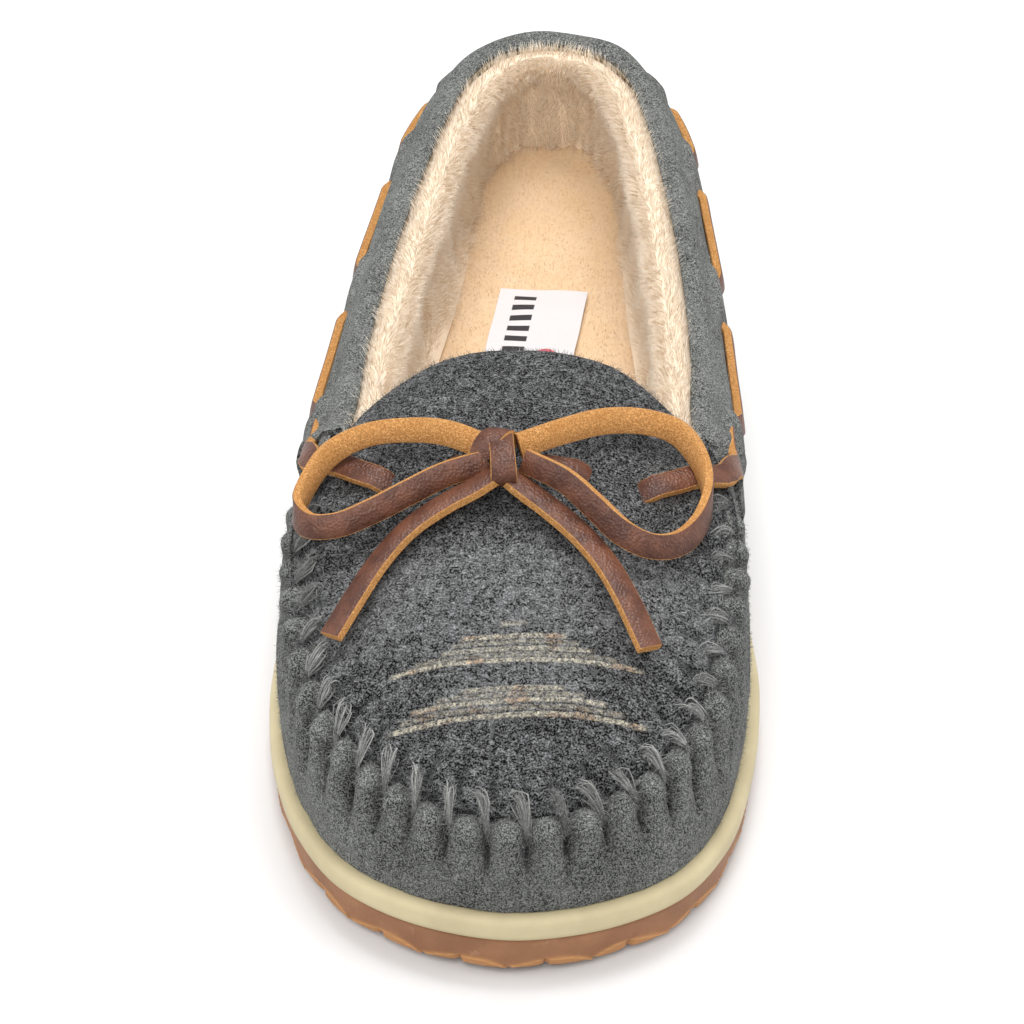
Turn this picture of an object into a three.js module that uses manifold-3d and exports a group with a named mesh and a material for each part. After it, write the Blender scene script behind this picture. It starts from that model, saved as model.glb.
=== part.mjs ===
// Left suede moccasin slipper in millimetres: toe towards -Y, outer side of the foot towards +X,
// tread on Z = 0. Every piece is a closed block between two facing grids of points.
import * as THREE from "three";
import Module from "manifold-3d";
import { mergeVertices } from "three/addons/utils/BufferGeometryUtils.js";

const wasm = await Module();
wasm.setup();

// Driving dimensions.
const GAP = 0.3;
const SLACK = 0.25;
const OUTSOLE = 6;
const MIDSOLE = 5.2;
const TOE_SPRING = 4;
const TREAD_SPRING = 1.8;
const WELT = 2.6;
const SUEDE = 1.4;
const COUNTER = 1.2;
const WOOL = 2.4;
const PILE = 6.5;
const FOOTBED = { board: 2, foam: 5, pile: 5.5 };
const LACE = { width: 5, thick: 1.8 };
const THREAD = 1.1;

// Half stations from the heel round the outer side to the toe. Each gives, as half-width, y (and z),
// the sole edge, the shoulder where the wall turns in and the rim where the suede ends; swell is how
// far the wall bulges between sole and shoulder, roll how far the top line is padded up.
const STATIONS = [
  { sole: [0, 129.5], swell: 1, shoulder: [0, 121.5, 57], rim: [0, 113.5, 63], roll: 3.2 },
  { sole: [16, 126.5], swell: 1.2, shoulder: [13.5, 118, 57], rim: [10, 110.5, 62.8], roll: 3.2 },
  { sole: [27.5, 114], swell: 2, shoulder: [23, 106, 56], rim: [17.5, 102, 61.8], roll: 3 },
  { sole: [32.5, 92], swell: 3.8, shoulder: [28.8, 88, 54.5], rim: [22.3, 86, 60.2], roll: 2.8 },
  { sole: [33.5, 64], swell: 4.6, shoulder: [33, 62, 52], rim: [27.2, 61, 57.6], roll: 2.8 },
  { sole: [35, 34], swell: 5.4, shoulder: [36.6, 34, 50], rim: [31, 34, 55.2], roll: 2.7 },
  { sole: [39.5, 4], swell: 3.8, shoulder: [39.4, 4, 48.5], rim: [33.6, 4, 54.2], roll: 2.6 },
  { sole: [46, -22], swell: 1.4, shoulder: [41.4, -23, 48], rim: [34.8, -26, 55], roll: 2.2 },
  { sole: [49.6, -50], swell: 0.8, shoulder: [44.6, -50, 44], rim: [41.2, -50, 51.2], roll: 1.4 },
  { sole: [47.4, -78], swell: 1, shoulder: [43.4, -78, 37], rim: [39, -78, 43], roll: 1.4 },
  { sole: [41.2, -99], swell: 1, shoulder: [38.2, -97, 32], rim: [35, -92.5, 38], roll: 1.4 },
  { sole: [32, -113], swell: 0.8, shoulder: [29.5, -109, 29], rim: [26.5, -103.5, 34.5], roll: 1.4 },
  { sole: [17, -122.4], swell: 0.5, shoulder: [15.2, -118.2, 27], rim: [13.5, -113.2, 32.3], roll: 1.4 },
  { sole: [0, -126], swell: 0.5, shoulder: [0, -121.8, 27], rim: [0, -116.4, 32], roll: 1.4 },
];
const TOE = STATIONS.length - 1;
const TURN = 2 * TOE;
const THROAT = 7.12;

// Crown (rise above its edges) and bow (shift of its middle along y) of the plug at each station.
const PLUG_CROWN = [10.5, 10.2, 10.8, 8.6, 5, 1.6, 0];
const PLUG_BOW = [13.5, 5, 2, 0, -2, -3, 0];

const clamp = THREE.MathUtils.clamp;
const lerp = THREE.MathUtils.lerp;
const smooth = THREE.MathUtils.smoothstep;
const vec = (x, y, z) => new THREE.Vector3(x, y, z);

// The last is leaned a little: inwards at the waist, outwards at the toe.
const BEND = { back: -1.2, toe: 0.8 };
const bend = (y) => lerp(BEND.back, BEND.toe, smooth(-y, 55, 115));
const toeLift = (y) => clamp((-y - 50) / 76, 0, 1) ** 2;

// A closed line round the slipper through one mirrored column of the stations.
function ring(pick) {
  const at = (i, side) => {
    const p = pick(STATIONS[i]);
    return vec(side * p[0] + bend(p[1]), p[1], p[2] ?? 0);
  };
  const outer = STATIONS.map((_, i) => at(i, 1));
  const inner = STATIONS.slice(1, TOE).map((_, i) => at(TOE - 1 - i, -1));
  const curve = new THREE.CatmullRomCurve3([...outer, ...inner], true, "centripetal");
  return (s) => curve.getPoint((((s % TURN) + TURN) % TURN) / TURN);
}
const soleLine = ring((q) => q.sole);
const shoulderLine = ring((q) => q.shoulder);
const rimLine = ring((q) => q.rim);
const swellLine = ring((q) => [q.swell, 0]);
const rollLine = ring((q) => [q.roll, 0]);
const amount = (line, s) => {
  const half = TOE - Math.abs(TOE - (((s % TURN) + TURN) % TURN));
  return line(half).x - BEND.back;
};

// Plan direction pointing out of the slipper at s.
function outwards(line, s) {
  const t = line(s + 0.02).sub(line(s - 0.02));
  return vec(-t.y, t.x, 0).normalize();
}
const soleTop = (y) => OUTSOLE + MIDSOLE + TOE_SPRING * toeLift(y);

// The outer face of the upper: s runs round the slipper, v climbs from the sole to the rim.
function wallPoint(s, v) {
  const out = outwards(soleLine, s);
  const foot = soleLine(s).addScaledVector(out, -WELT);
  foot.z = soleTop(foot.y) + GAP;
  const shoulder = shoulderLine(s);
  const rim = rimLine(s);
  const belly = foot.clone().lerp(shoulder, 0.4).addScaledVector(out, amount(swellLine, s));
  const crest = shoulder.clone().lerp(rim, 0.42);
  const rise = amount(rollLine, s);
  crest.addScaledVector(out, 0.35 * rise).setZ(crest.z + rise);
  const profile = new THREE.CatmullRomCurve3([foot, belly, shoulder, crest, rim]);
  return profile.getPoint(clamp(v, 0, 1));
}
function wallNormal(s, v) {
  const e = 0.02;
  const lo = clamp(v - e, 0, 1);
  const hi = clamp(v + e, 0, 1);
  const along = wallPoint(s + e, v).sub(wallPoint(s - e, v));
  const up = wallPoint(s, hi).sub(wallPoint(s, lo));
  return up.cross(along).normalize();
}
const wall = (s, v, lift = 0) => wallPoint(s, v).addScaledVector(wallNormal(s, v), lift);

// The upper face of the plug: u crosses it from the inner to the outer side, s runs throat to toe.
function plugPoint(u, s, inset = 0.6) {
  const side = (k) => rimLine(k).addScaledVector(outwards(rimLine, k), -inset);
  const a = side(TURN - s);
  const b = side(s);
  const i = clamp(Math.floor(s) - 7, 0, 5);
  const w = clamp(s - 7 - i, 0, 1);
  const t = Math.abs(2 * u - 1);
  const p = a.lerp(b, u);
  p.z += lerp(PLUG_CROWN[i], PLUG_CROWN[i + 1], smooth(w, 0, 1)) * (1 - t ** 2.4);
  p.y += lerp(PLUG_BOW[i], PLUG_BOW[i + 1], smooth(w, 0, 1)) * (1 - t ** 2.8);
  return p;
}
function plugNormal(u, s) {
  const e = 0.02;
  const across = plugPoint(Math.min(u + e, 1), s).sub(plugPoint(Math.max(u - e, 0), s));
  const along = plugPoint(u, s + e).sub(plugPoint(u, s - e));
  return along.cross(across).normalize();
}
const plug = (u, s, lift = 0, inset) =>
  plugPoint(u, s, inset).addScaledVector(plugNormal(u, s), lift);

const steps = (from, to, n) => Array.from({ length: n + 1 }, (_, i) => lerp(from, to, i / n));
const grid = (rows, columns, at) => rows.map((r) => columns.map((c) => at(r, c)));

// A closed solid between two facing grids; a ring joins its last row to its first.
function block(outer, inner, isRing = false) {
  const flat = [];
  const tri = (a, b, c) => {
    const tiny = 1e-4;
    if (a.distanceTo(b) < tiny || b.distanceTo(c) < tiny || a.distanceTo(c) < tiny) return;
    [a, b, c].forEach((p) => flat.push(p.x, p.y, p.z));
  };
  const quad = (a, b, c, d) => {
    tri(a, b, c);
    tri(a, c, d);
  };
  const n = outer.length;
  const m = outer[0].length - 1;
  const rows = isRing ? n : n - 1;
  for (let i = 0; i < rows; i++) {
    const k = (i + 1) % n;
    for (let j = 0; j < m; j++) {
      quad(outer[i][j], outer[k][j], outer[k][j + 1], outer[i][j + 1]);
      quad(inner[i][j], inner[i][j + 1], inner[k][j + 1], inner[k][j]);
    }
    quad(outer[k][0], outer[i][0], inner[i][0], inner[k][0]);
    quad(outer[i][m], outer[k][m], inner[k][m], inner[i][m]);
  }
  if (!isRing) {
    const l = n - 1;
    for (let j = 0; j < m; j++) {
      quad(outer[0][j], outer[0][j + 1], inner[0][j + 1], inner[0][j]);
      quad(outer[l][j + 1], outer[l][j], inner[l][j], inner[l][j + 1]);
    }
  }
  const shape = new THREE.BufferGeometry();
  shape.setAttribute("position", new THREE.Float32BufferAttribute(flat, 3));
  return facingOut(mergeVertices(shape, 1e-3));
}

// Turns a mesh whose faces point inwards the right way round.
function facingOut(shape) {
  const p = shape.attributes.position;
  const index = shape.index.array;
  const corner = (i) => vec().fromBufferAttribute(p, index[i]);
  let volume = 0;
  for (let i = 0; i < index.length; i += 3) {
    volume += corner(i).dot(corner(i + 1).cross(corner(i + 2)));
  }
  if (volume < 0) {
    for (let i = 0; i < index.length; i += 3) [index[i + 1], index[i + 2]] = [index[i + 2], index[i + 1]];
  }
  return shape;
}

function solid(shape) {
  const bare = shape.clone();
  bare.deleteAttribute("normal");
  bare.deleteAttribute("uv");
  const merged = mergeVertices(bare, 1e-3);
  const { array } = merged.attributes.position;
  const triVerts = new Uint32Array(merged.index.array);
  return new wasm.Manifold(
    new wasm.Mesh({ numProp: 3, vertProperties: new Float32Array(array), triVerts }),
  );
}
function cut(shape, ...tools) {
  let left = solid(shape);
  tools.forEach((t) => {
    left = left.subtract(solid(t));
  });
  const pieces = left.decompose().sort((a, b) => b.volume() - a.volume());
  const mesh = pieces[0].getMesh();
  const made = new THREE.BufferGeometry();
  made.setAttribute("position", new THREE.BufferAttribute(mesh.vertProperties, 3));
  made.setIndex(new THREE.BufferAttribute(mesh.triVerts, 1));
  return made;
}

const slipper = new THREE.Group();
slipper.name = "slipper";
function add(name, shape, colour, roughness) {
  const material = new THREE.MeshStandardMaterial({ color: colour, roughness, metalness: 0 });
  const mesh = new THREE.Mesh(shape, material);
  mesh.name = name;
  slipper.add(mesh);
}

const SUEDE_GREY = 0x6f706d;
const WOOL_GREY = 0x55565a;
const PILE_CREAM = 0xe6d3b4;
const LEATHER_BROWN = 0x7a4a38;
const BAND_CREAM = 0xd5c8a2;
const GUM = 0xa5764f;

// A flat slab inside a line round the slipper, its faces following heights over y.
function slab(edge, top, bottom, rows = 30) {
  const at = (height) => (r, side) => {
    const p = edge(side ? r : TURN - r);
    return vec(p.x, p.y, height(p.y));
  };
  const stations = steps(0, TOE, rows);
  return block(grid(stations, [0, 1], at(top)), grid(stations, [0, 1], at(bottom)));
}
const insetSole = (inset) => (s) =>
  soleLine(s).addScaledVector(outwards(soleLine, s), -inset);

// Straight grooves across the tread.
function groove(y) {
  const width = 3;
  const depth = 2.2;
  const lift = TREAD_SPRING * toeLift(y);
  const box = new THREE.BoxGeometry(140, width, 2 * depth);
  box.rotateZ(0.12 * Math.sign(y));
  return box.translate(0, y, lift);
}
function outsole() {
  const top = (y) => OUTSOLE - GAP + TOE_SPRING * toeLift(y);
  const bottom = (y) => TREAD_SPRING * toeLift(y);
  const body = slab(insetSole(0.8), top, bottom);
  return cut(body, ...steps(-108, 112, 10).map(groove));
}
function midsole() {
  return slab(insetSole(0), soleTop, (y) => soleTop(y) - MIDSOLE);
}

// Everything under the foot sits inside the lining.
const liningFoot = (v, inset) => (s) => wall(s, v, -inset).setZ(0);
function insoleBoard() {
  const base = (y) => soleTop(y) + GAP;
  return slab(insetSole(WELT + SUEDE + 1), (y) => base(y) + FOOTBED.board, base);
}
const footHeight = (y, stack) => soleTop(y) + GAP + stack;
function footbedFoam() {
  const low = FOOTBED.board + GAP;
  const edge = liningFoot(0.1, PILE + 4.4);
  return slab(edge, (y) => footHeight(y, low + FOOTBED.foam), (y) => footHeight(y, low));
}
function footbedPile() {
  const low = FOOTBED.board + FOOTBED.foam + 2 * GAP;
  const edge = liningFoot(0.19, PILE + 5.8);
  return slab(edge, (y) => footHeight(y, low + FOOTBED.pile), (y) => footHeight(y, low));
}
function sockLabel() {
  const base = (y) => footHeight(y, FOOTBED.board + FOOTBED.foam + FOOTBED.pile + 3 * GAP);
  const corner = (lift) => (y, side) => {
    const slant = 0.09 * (y - 58);
    return vec(side * 9 - 0.8 + slant, y, base(y) + lift);
  };
  const rows = steps(34, 67, 4);
  return block(grid(rows, [-1, 1], corner(0.6)), grid(rows, [-1, 1], corner(0)));
}

// Flat strip swept along places, each with a position, the face direction and the strip's breadth.
function strap(places, width, thick) {
  const half = (face) =>
    places.map((q) =>
      [-1, 1].map((k) =>
        q.at
          .clone()
          .addScaledVector(q.across, (k * width) / 2)
          .addScaledVector(q.face, (face * thick) / 2),
      ),
    );
  return block(half(1), half(-1));
}

// Places along a smooth line through points whose face direction is given.
function places(points, faces, count) {
  const line = new THREE.CatmullRomCurve3(points, false, "centripetal");
  const facing = new THREE.CatmullRomCurve3(faces);
  return steps(0, 1, count).map((t) => {
    const at = line.getPoint(t);
    const run = line.getTangent(t);
    const face = facing.getPoint(t);
    const across = run.clone().cross(face).normalize();
    return { at, across, face: across.clone().cross(run).normalize() };
  });
}

// Where the lace runs behind the cuff instead of outside it, as stations from the heel.
const TUNNELS = [
  [-0.2, 0.95],
  [1.65, 2.2],
  [3.1, 3.6],
  [4.75, 5.3],
  [6.5, 8],
];
// Height of the lace on the wall; it climbs to leave the cuff's front end at the shoulder.
const laceLevel = (s) => lerp(0.42, 0.5, smooth(Math.abs(s), 6.3, 7));
const CUFF = { bottom: 0.3, thick: 1.3 };
function hidden(s) {
  const half = Math.abs(s);
  const edge = 0.09;
  return Math.max(
    ...TUNNELS.map(([a, b]) => smooth(half, a - edge, a + edge) * (1 - smooth(half, b - edge, b + edge))),
  );
}
// Stations along the cuff, close together where the lace changes sides.
const COLLAR_STATIONS = [
  ...new Set(
    [
      ...steps(-THROAT, THROAT, 26),
      ...TUNNELS.flatMap(([a, b]) => [a - 0.09, a, a + 0.09, b - 0.09, b, b + 0.09])
        .filter((s) => s > 0 && s < THROAT - 0.05)
        .flatMap((s) => [s, -s]),
    ].map((s) => Math.round(s * 1000) / 1000),
  ),
].sort((a, b) => a - b);
// Outer face of the cuff: proud of the sides, flush at the rim, bulged over each tunnel.
function cuffLift(s, v) {
  const proud = CUFF.thick + GAP + SLACK;
  const flush = 1 - smooth(v, 0.46, 0.66);
  const level = laceLevel(s);
  const tunnel =
    hidden(s) * smooth(v, level - 0.11, level - 0.06) * (1 - smooth(v, level + 0.07, level + 0.14));
  return proud * flush + (LACE.thick + 0.4) * tunnel;
}
const laceLift = (s) => {
  const outside = CUFF.thick + 2 * GAP + SLACK + LACE.thick / 2;
  const behind = GAP + LACE.thick / 2;
  return lerp(outside, behind, hidden(s));
};

// The lace from one side of the knot, under the plug, over the seam and round behind the heel.
function laceStart(side) {
  const u = (x) => 0.5 + (side * x) / 80;
  const above = 0.2 + LACE.thick / 2;
  const below = -(WOOL + 0.4 + LACE.thick / 2);
  return [
    ...[
      [5.2, 8.1, above + 0.6],
      [8.5, 8.1, above],
      [12, 8.1, above - 0.4],
      [15.5, 8.12, below + 0.4],
      [19.5, 8.14, below],
      [22.5, 8.14, below + 0.8],
      [26, 8.08, above],
      [30, 7.96, above + 0.4],
      [34.5, 7.8, above + 1],
    ].map(([x, s, lift]) => [plug(u(x), s, lift), plugNormal(u(x), s)]),
    ...[
      [7.58, 0.95, above + 1.2],
      [7.42, 0.78, above + 0.7],
      [7.28, 0.6, above + 0.5],
    ].map(([s, v, lift]) => [wall(side * s, v, lift), wallNormal(side * s, v)]),
  ];
}
function laceRun(width = LACE.width, thick = LACE.thick) {
  const round = COLLAR_STATIONS.slice(1, -1)
    .reverse()
    .map((s) => [wall(s, laceLevel(s), laceLift(s)), wallNormal(s, laceLevel(s))]);
  const path = [...laceStart(1), ...round, ...laceStart(-1).reverse()];
  const made = places(
    path.map((q) => q[0]),
    path.map((q) => q[1]),
    Math.round(path.length * 1.3),
  );
  return strap(made, width, thick);
}

// Suede and lining round the wall.
function shell(sRange, vRange, outer, inner, isRing = false) {
  return block(grid(sRange, vRange, outer), grid(sRange, vRange, inner), isRing);
}
function vamp() {
  const s = steps(THROAT + 0.06, TURN - THROAT - 0.06, 34);
  return shell(s, steps(0, 1, 6), (a, v) => wall(a, v), (a, v) => wall(a, v, -SUEDE));
}
function quarter(side) {
  const s = steps(side * 0.02, side * THROAT, 18);
  return shell(s, steps(0, 0.43, 4), (a, v) => wall(a, v), (a, v) => wall(a, v, -SUEDE));
}
function backStay() {
  const lift = GAP;
  const s = steps(-0.55, 0.55, 6);
  return shell(s, steps(0.02, CUFF.bottom - 0.02, 3), (a, v) => wall(a, v, lift + 1.2), (a, v) =>
    wall(a, v, lift),
  );
}
function collarCuff(lace) {
  const s = COLLAR_STATIONS;
  const v = [CUFF.bottom, 0.36, 0.48, 0.58, 0.72, 0.86, 1];
  const body = shell(s, v, (a, b) => wall(a, b, cuffLift(a, b)), (a, b) =>
    wall(a, b, cuffLift(a, b) - CUFF.thick),
  );
  return cut(body, lace);
}
function heelCounter() {
  const s = steps(-3.4, 3.4, 16);
  const near = SUEDE + GAP;
  return shell(s, steps(0.04, 0.4, 4), (a, v) => wall(a, v, -near), (a, v) =>
    wall(a, v, -near - COUNTER),
  );
}
// Depth of the lining's outer face: deeper where the counter stands behind it.
const liningOut = (s) => {
  const half = TOE - Math.abs(TOE - (((s % TURN) + TURN) % TURN));
  return SUEDE + GAP + SLACK + (COUNTER + GAP) * (1 - smooth(half, 3.6, 4.2));
};
// The lining's top leans from under the padding to the rim.
function liningFace(s, v, depth) {
  const top = 0.5;
  const p = wall(s, Math.min(v, top), -depth);
  if (v <= top) return p;
  const reach = (v - top) / (1 - top);
  const under = rimLine(s).addScaledVector(outwards(rimLine, s), depth > PILE ? -4.5 : 0.2);
  under.z -= depth > PILE ? 2.6 : 1.6;
  return p.lerp(under, reach);
}
function quarterLining() {
  const s = steps(-THROAT, THROAT, 36);
  const v = [0.1, 0.25, 0.4, 0.5, 0.75, 0.97];
  return shell(
    s,
    v,
    (a, b) => liningFace(a, b, liningOut(a)),
    (a, b) => liningFace(a, b, PILE + 3.4),
  );
}
function vampLining() {
  const s = steps(THROAT + 0.08, TURN - THROAT - 0.08, 26);
  return shell(s, steps(0.1, 0.62, 4), (a, v) => wall(a, v, -SUEDE - GAP), (a, v) =>
    wall(a, v, -PILE - 2.2),
  );
}
function collarFoam() {
  const s = steps(-THROAT + 0.02, THROAT - 0.02, 36);
  const v = [0.56, 0.66, 0.76, 0.86, 0.95];
  const depth = CUFF.thick + GAP;
  const base = (a, b) => {
    const from = liningFace(a, 0.53, liningOut(a)).addScaledVector(wallNormal(a, 0.6), 0.4);
    const to = liningFace(a, 0.94, liningOut(a)).addScaledVector(wallNormal(a, 0.8), 0.4);
    return from.lerp(to, (b - v[0]) / (v[4] - v[0]));
  };
  return shell(s, v, (a, b) => wall(a, b, -depth), base);
}
function woolPlug(lace) {
  const s = steps(7.0, 12.6, 18);
  const u = steps(0, 1, 10);
  const body = block(grid(s, u, (a, b) => plug(b, a)), grid(s, u, (a, b) => plug(b, a, -WOOL)));
  return cut(body, lace);
}
function plugLining(lace) {
  const s = steps(7.03, 11.4, 12);
  const u = steps(0.14, 0.86, 6);
  const near = WOOL + GAP;
  const body = block(
    grid(s, u, (a, b) => plug(b, a, -near)),
    grid(s, u, (a, b) => plug(b, a, -near - 4.5)),
  );
  return cut(body, lace);
}

// One thread whipped over the seam from throat to throat.
function seamThread() {
  const stitches = 30;
  const perStitch = 4;
  const count = stitches * perStitch;
  const from = THROAT + 0.85;
  const centre = steps(0, 1, count).map((t) => {
    const s = lerp(from, TURN - from, t);
    const swing = Math.sin(t * stitches * 2 * Math.PI);
    const rim = rimLine(s);
    const out = outwards(rimLine, s);
    const up = wallNormal(s, 0.97).lerp(vec(0, 0, 1), 0.4).normalize();
    return rim.addScaledVector(out, swing * 1.8 + 0.3).addScaledVector(up, THREAD + 1.6);
  });
  const line = new THREE.CatmullRomCurve3(centre);
  const ring6 = (t, low) => {
    const run = line.getTangent(t);
    const side = run.clone().cross(vec(0, 0, 1)).normalize();
    const up = side.clone().cross(run).normalize();
    return [0, 60, 120, 180].map((deg) => {
      const a = THREE.MathUtils.degToRad(low ? -deg : deg);
      return line
        .getPoint(t)
        .addScaledVector(side, Math.cos(a) * THREAD * 0.5)
        .addScaledVector(up, Math.sin(a) * THREAD * 0.5);
    });
  };
  const t = steps(0, 1, count);
  return block(t.map((k) => ring6(k, false)), t.map((k) => ring6(k, true)));
}

// The bow, standing on the plug.
const KNOT = { at: vec(-3.9, -49.5, 65.3), half: [3.6, 5.6, 3.1] };
function knot() {
  const ball = new THREE.SphereGeometry(1, 14, 10);
  ball.scale(...KNOT.half);
  ball.rotateX(-0.15);
  ball.translate(KNOT.at.x, KNOT.at.y, KNOT.at.z);
  ball.deleteAttribute("normal");
  ball.deleteAttribute("uv");
  return mergeVertices(ball, 1e-3);
}
// Edge directions of the strap: the loops stand leaning back, the tails lie flat.
const LEAN_BACK = (run) => vec(0, 0.55, 0.85).addScaledVector(run, -vec(0, 0.55, 0.85).dot(run));
const LIE_FLAT = (run) => run.clone().cross(vec(0, -0.3, 1));
function bowStrap(points, edge) {
  const line = new THREE.CatmullRomCurve3(points.map((p) => vec(...p)), false, "centripetal");
  const made = steps(0, 1, 4 * points.length).map((t) => {
    const run = line.getTangent(t);
    const across = edge(run).normalize();
    return { at: line.getPoint(t), across, face: across.clone().cross(run).normalize() };
  });
  return strap(made, LACE.width, LACE.thick);
}
const LOOP_MEDIAL = [
  [-8.8, -46.9, 66],
  [-15.1, -44, 66.4],
  [-23.2, -41.4, 64.8],
  [-31.3, -41.2, 63.4],
  [-38, -44.6, 61.4],
  [-42.1, -52.6, 58.8],
  [-43, -59.4, 56.9],
  [-40.4, -63.4, 56.6],
  [-35.2, -63.4, 57.2],
  [-28.7, -60.6, 58.9],
  [-21.2, -56.8, 61.6],
  [-14.6, -53.4, 63.8],
  [-9.2, -51.2, 65],
];
const LOOP_LATERAL = [
  [1.3, -46.6, 66.4],
  [8.2, -42.6, 66.9],
  [15.9, -38.2, 66.2],
  [23.8, -35.7, 64.4],
  [29.8, -36.8, 63.4],
  [34.1, -42.4, 62.2],
  [36.2, -51.2, 59.8],
  [34.4, -59.3, 57.3],
  [30.3, -64.7, 57],
  [25.3, -66.9, 58.4],
  [20.1, -66.2, 61],
  [14.6, -61.8, 63.8],
  [8.8, -56.6, 66],
  [3.6, -53.4, 67],
];
const TAIL_MEDIAL = [
  [-6.4, -55.6, 63.4],
  [-13.9, -58.8, 61.2],
  [-20.7, -64, 58],
  [-26, -70.3, 54.7],
  [-30.3, -77.2, 50.9],
  [-34.4, -84.1, 46.8],
];
const TAIL_LATERAL = [
  [-0.4, -56, 62.6],
  [5.8, -60, 60.8],
  [12.2, -65.4, 58.6],
  [17.4, -71.6, 56.3],
  [21.4, -78.2, 53.3],
  [25.9, -86.8, 48.6],
];

const laceClearance = laceRun(LACE.width + 5 * GAP, LACE.thick + 6 * GAP);
add("outsole", outsole(), GUM, 0.75);
add("midsole", midsole(), BAND_CREAM, 0.6);
add("insole_board", insoleBoard(), 0x9c8360, 0.9);
add("footbed_foam", footbedFoam(), 0xe8e3d2, 0.95);
add("footbed_pile", footbedPile(), PILE_CREAM, 1);
add("sock_label", sockLabel(), 0xe4e2e2, 0.8);
add("vamp", vamp(), SUEDE_GREY, 0.95);
add("quarter_lateral", quarter(1), SUEDE_GREY, 0.95);
add("quarter_medial", quarter(-1), SUEDE_GREY, 0.95);
add("back_stay", backStay(), SUEDE_GREY, 0.95);
add("collar_cuff", collarCuff(laceClearance), 0x7d7d79, 0.95);
add("collar_foam", collarFoam(), 0xe8e3d2, 0.95);
add("heel_counter", heelCounter(), 0xb9a98a, 0.9);
add("quarter_lining", quarterLining(), PILE_CREAM, 1);
add("vamp_lining", vampLining(), PILE_CREAM, 1);
add("plug", woolPlug(laceClearance), WOOL_GREY, 1);
add("plug_lining", plugLining(laceClearance), PILE_CREAM, 1);
add("seam_thread", seamThread(), 0x5c5d5c, 0.9);
add("lace_run", laceRun(), LEATHER_BROWN, 0.5);
add("lace_knot", knot(), LEATHER_BROWN, 0.5);
add("lace_loop_medial", bowStrap(LOOP_MEDIAL, LEAN_BACK), LEATHER_BROWN, 0.5);
add("lace_loop_lateral", bowStrap(LOOP_LATERAL, LEAN_BACK), LEATHER_BROWN, 0.5);
add("lace_tail_medial", bowStrap(TAIL_MEDIAL, LIE_FLAT), LEATHER_BROWN, 0.5);
add("lace_tail_lateral", bowStrap(TAIL_LATERAL, LIE_FLAT), LEATHER_BROWN, 0.5);

// Origin at the middle of the footprint, on the tread.
const extent = new THREE.Box3().setFromObject(slipper);
const middle = extent.getCenter(vec());
slipper.position.set(-middle.x, -middle.y, -extent.min.z);

export default slipper;
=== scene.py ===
"""Left suede moccasin slipper: toe towards -Y, outer side towards +X, standing on Z = 0.

Shapes are worked out in millimetres round the same stations as the CAD model, then moved into
the frame in metres.
"""

import math

import bpy
import numpy as np
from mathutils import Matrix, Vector


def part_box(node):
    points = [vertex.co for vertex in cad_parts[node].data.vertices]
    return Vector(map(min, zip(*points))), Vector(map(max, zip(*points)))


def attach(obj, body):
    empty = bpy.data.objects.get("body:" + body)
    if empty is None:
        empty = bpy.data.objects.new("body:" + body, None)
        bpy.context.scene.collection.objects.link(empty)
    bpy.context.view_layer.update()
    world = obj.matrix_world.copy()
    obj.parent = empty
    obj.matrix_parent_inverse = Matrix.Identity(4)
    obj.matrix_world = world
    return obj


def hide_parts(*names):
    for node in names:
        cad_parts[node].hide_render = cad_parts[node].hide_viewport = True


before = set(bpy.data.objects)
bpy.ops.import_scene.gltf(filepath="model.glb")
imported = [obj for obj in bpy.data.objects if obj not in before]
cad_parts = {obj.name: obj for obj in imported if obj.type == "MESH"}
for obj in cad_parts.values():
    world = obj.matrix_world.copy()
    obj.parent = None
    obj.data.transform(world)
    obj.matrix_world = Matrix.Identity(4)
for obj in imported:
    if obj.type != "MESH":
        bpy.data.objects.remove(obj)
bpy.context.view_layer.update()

# ---- driving dimensions, millimetres
MM = 0.001  # metres
GAP = 0.3  # left between neighbouring layers
OUTSOLE = 6
MIDSOLE = 5.2
TOE_SPRING = 4
TREAD_SPRING = 1.8
WELT = 2.6
SUEDE = 1.4
WOOL = 2.4
PILE = 6.5
FOOTBED = 12.5
LACE_WIDTH = 5
LACE_THICK = 1.9
CUFF_LOW = 0.3  # where the cuff starts on the wall, as a share of its height
CUFF_THICK = 1.3
STAY = 1.2
LABEL_HALF = 10
LABEL_LOW = 34
LABEL_HIGH = 67
LABEL_MIDDLE = (LABEL_LOW + LABEL_HIGH) / 2
PUCKER_PITCH = 7.0
STRAND_CURL = 4.2  # sideways reach of a tip, in strand thicknesses
SEED = 11

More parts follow.
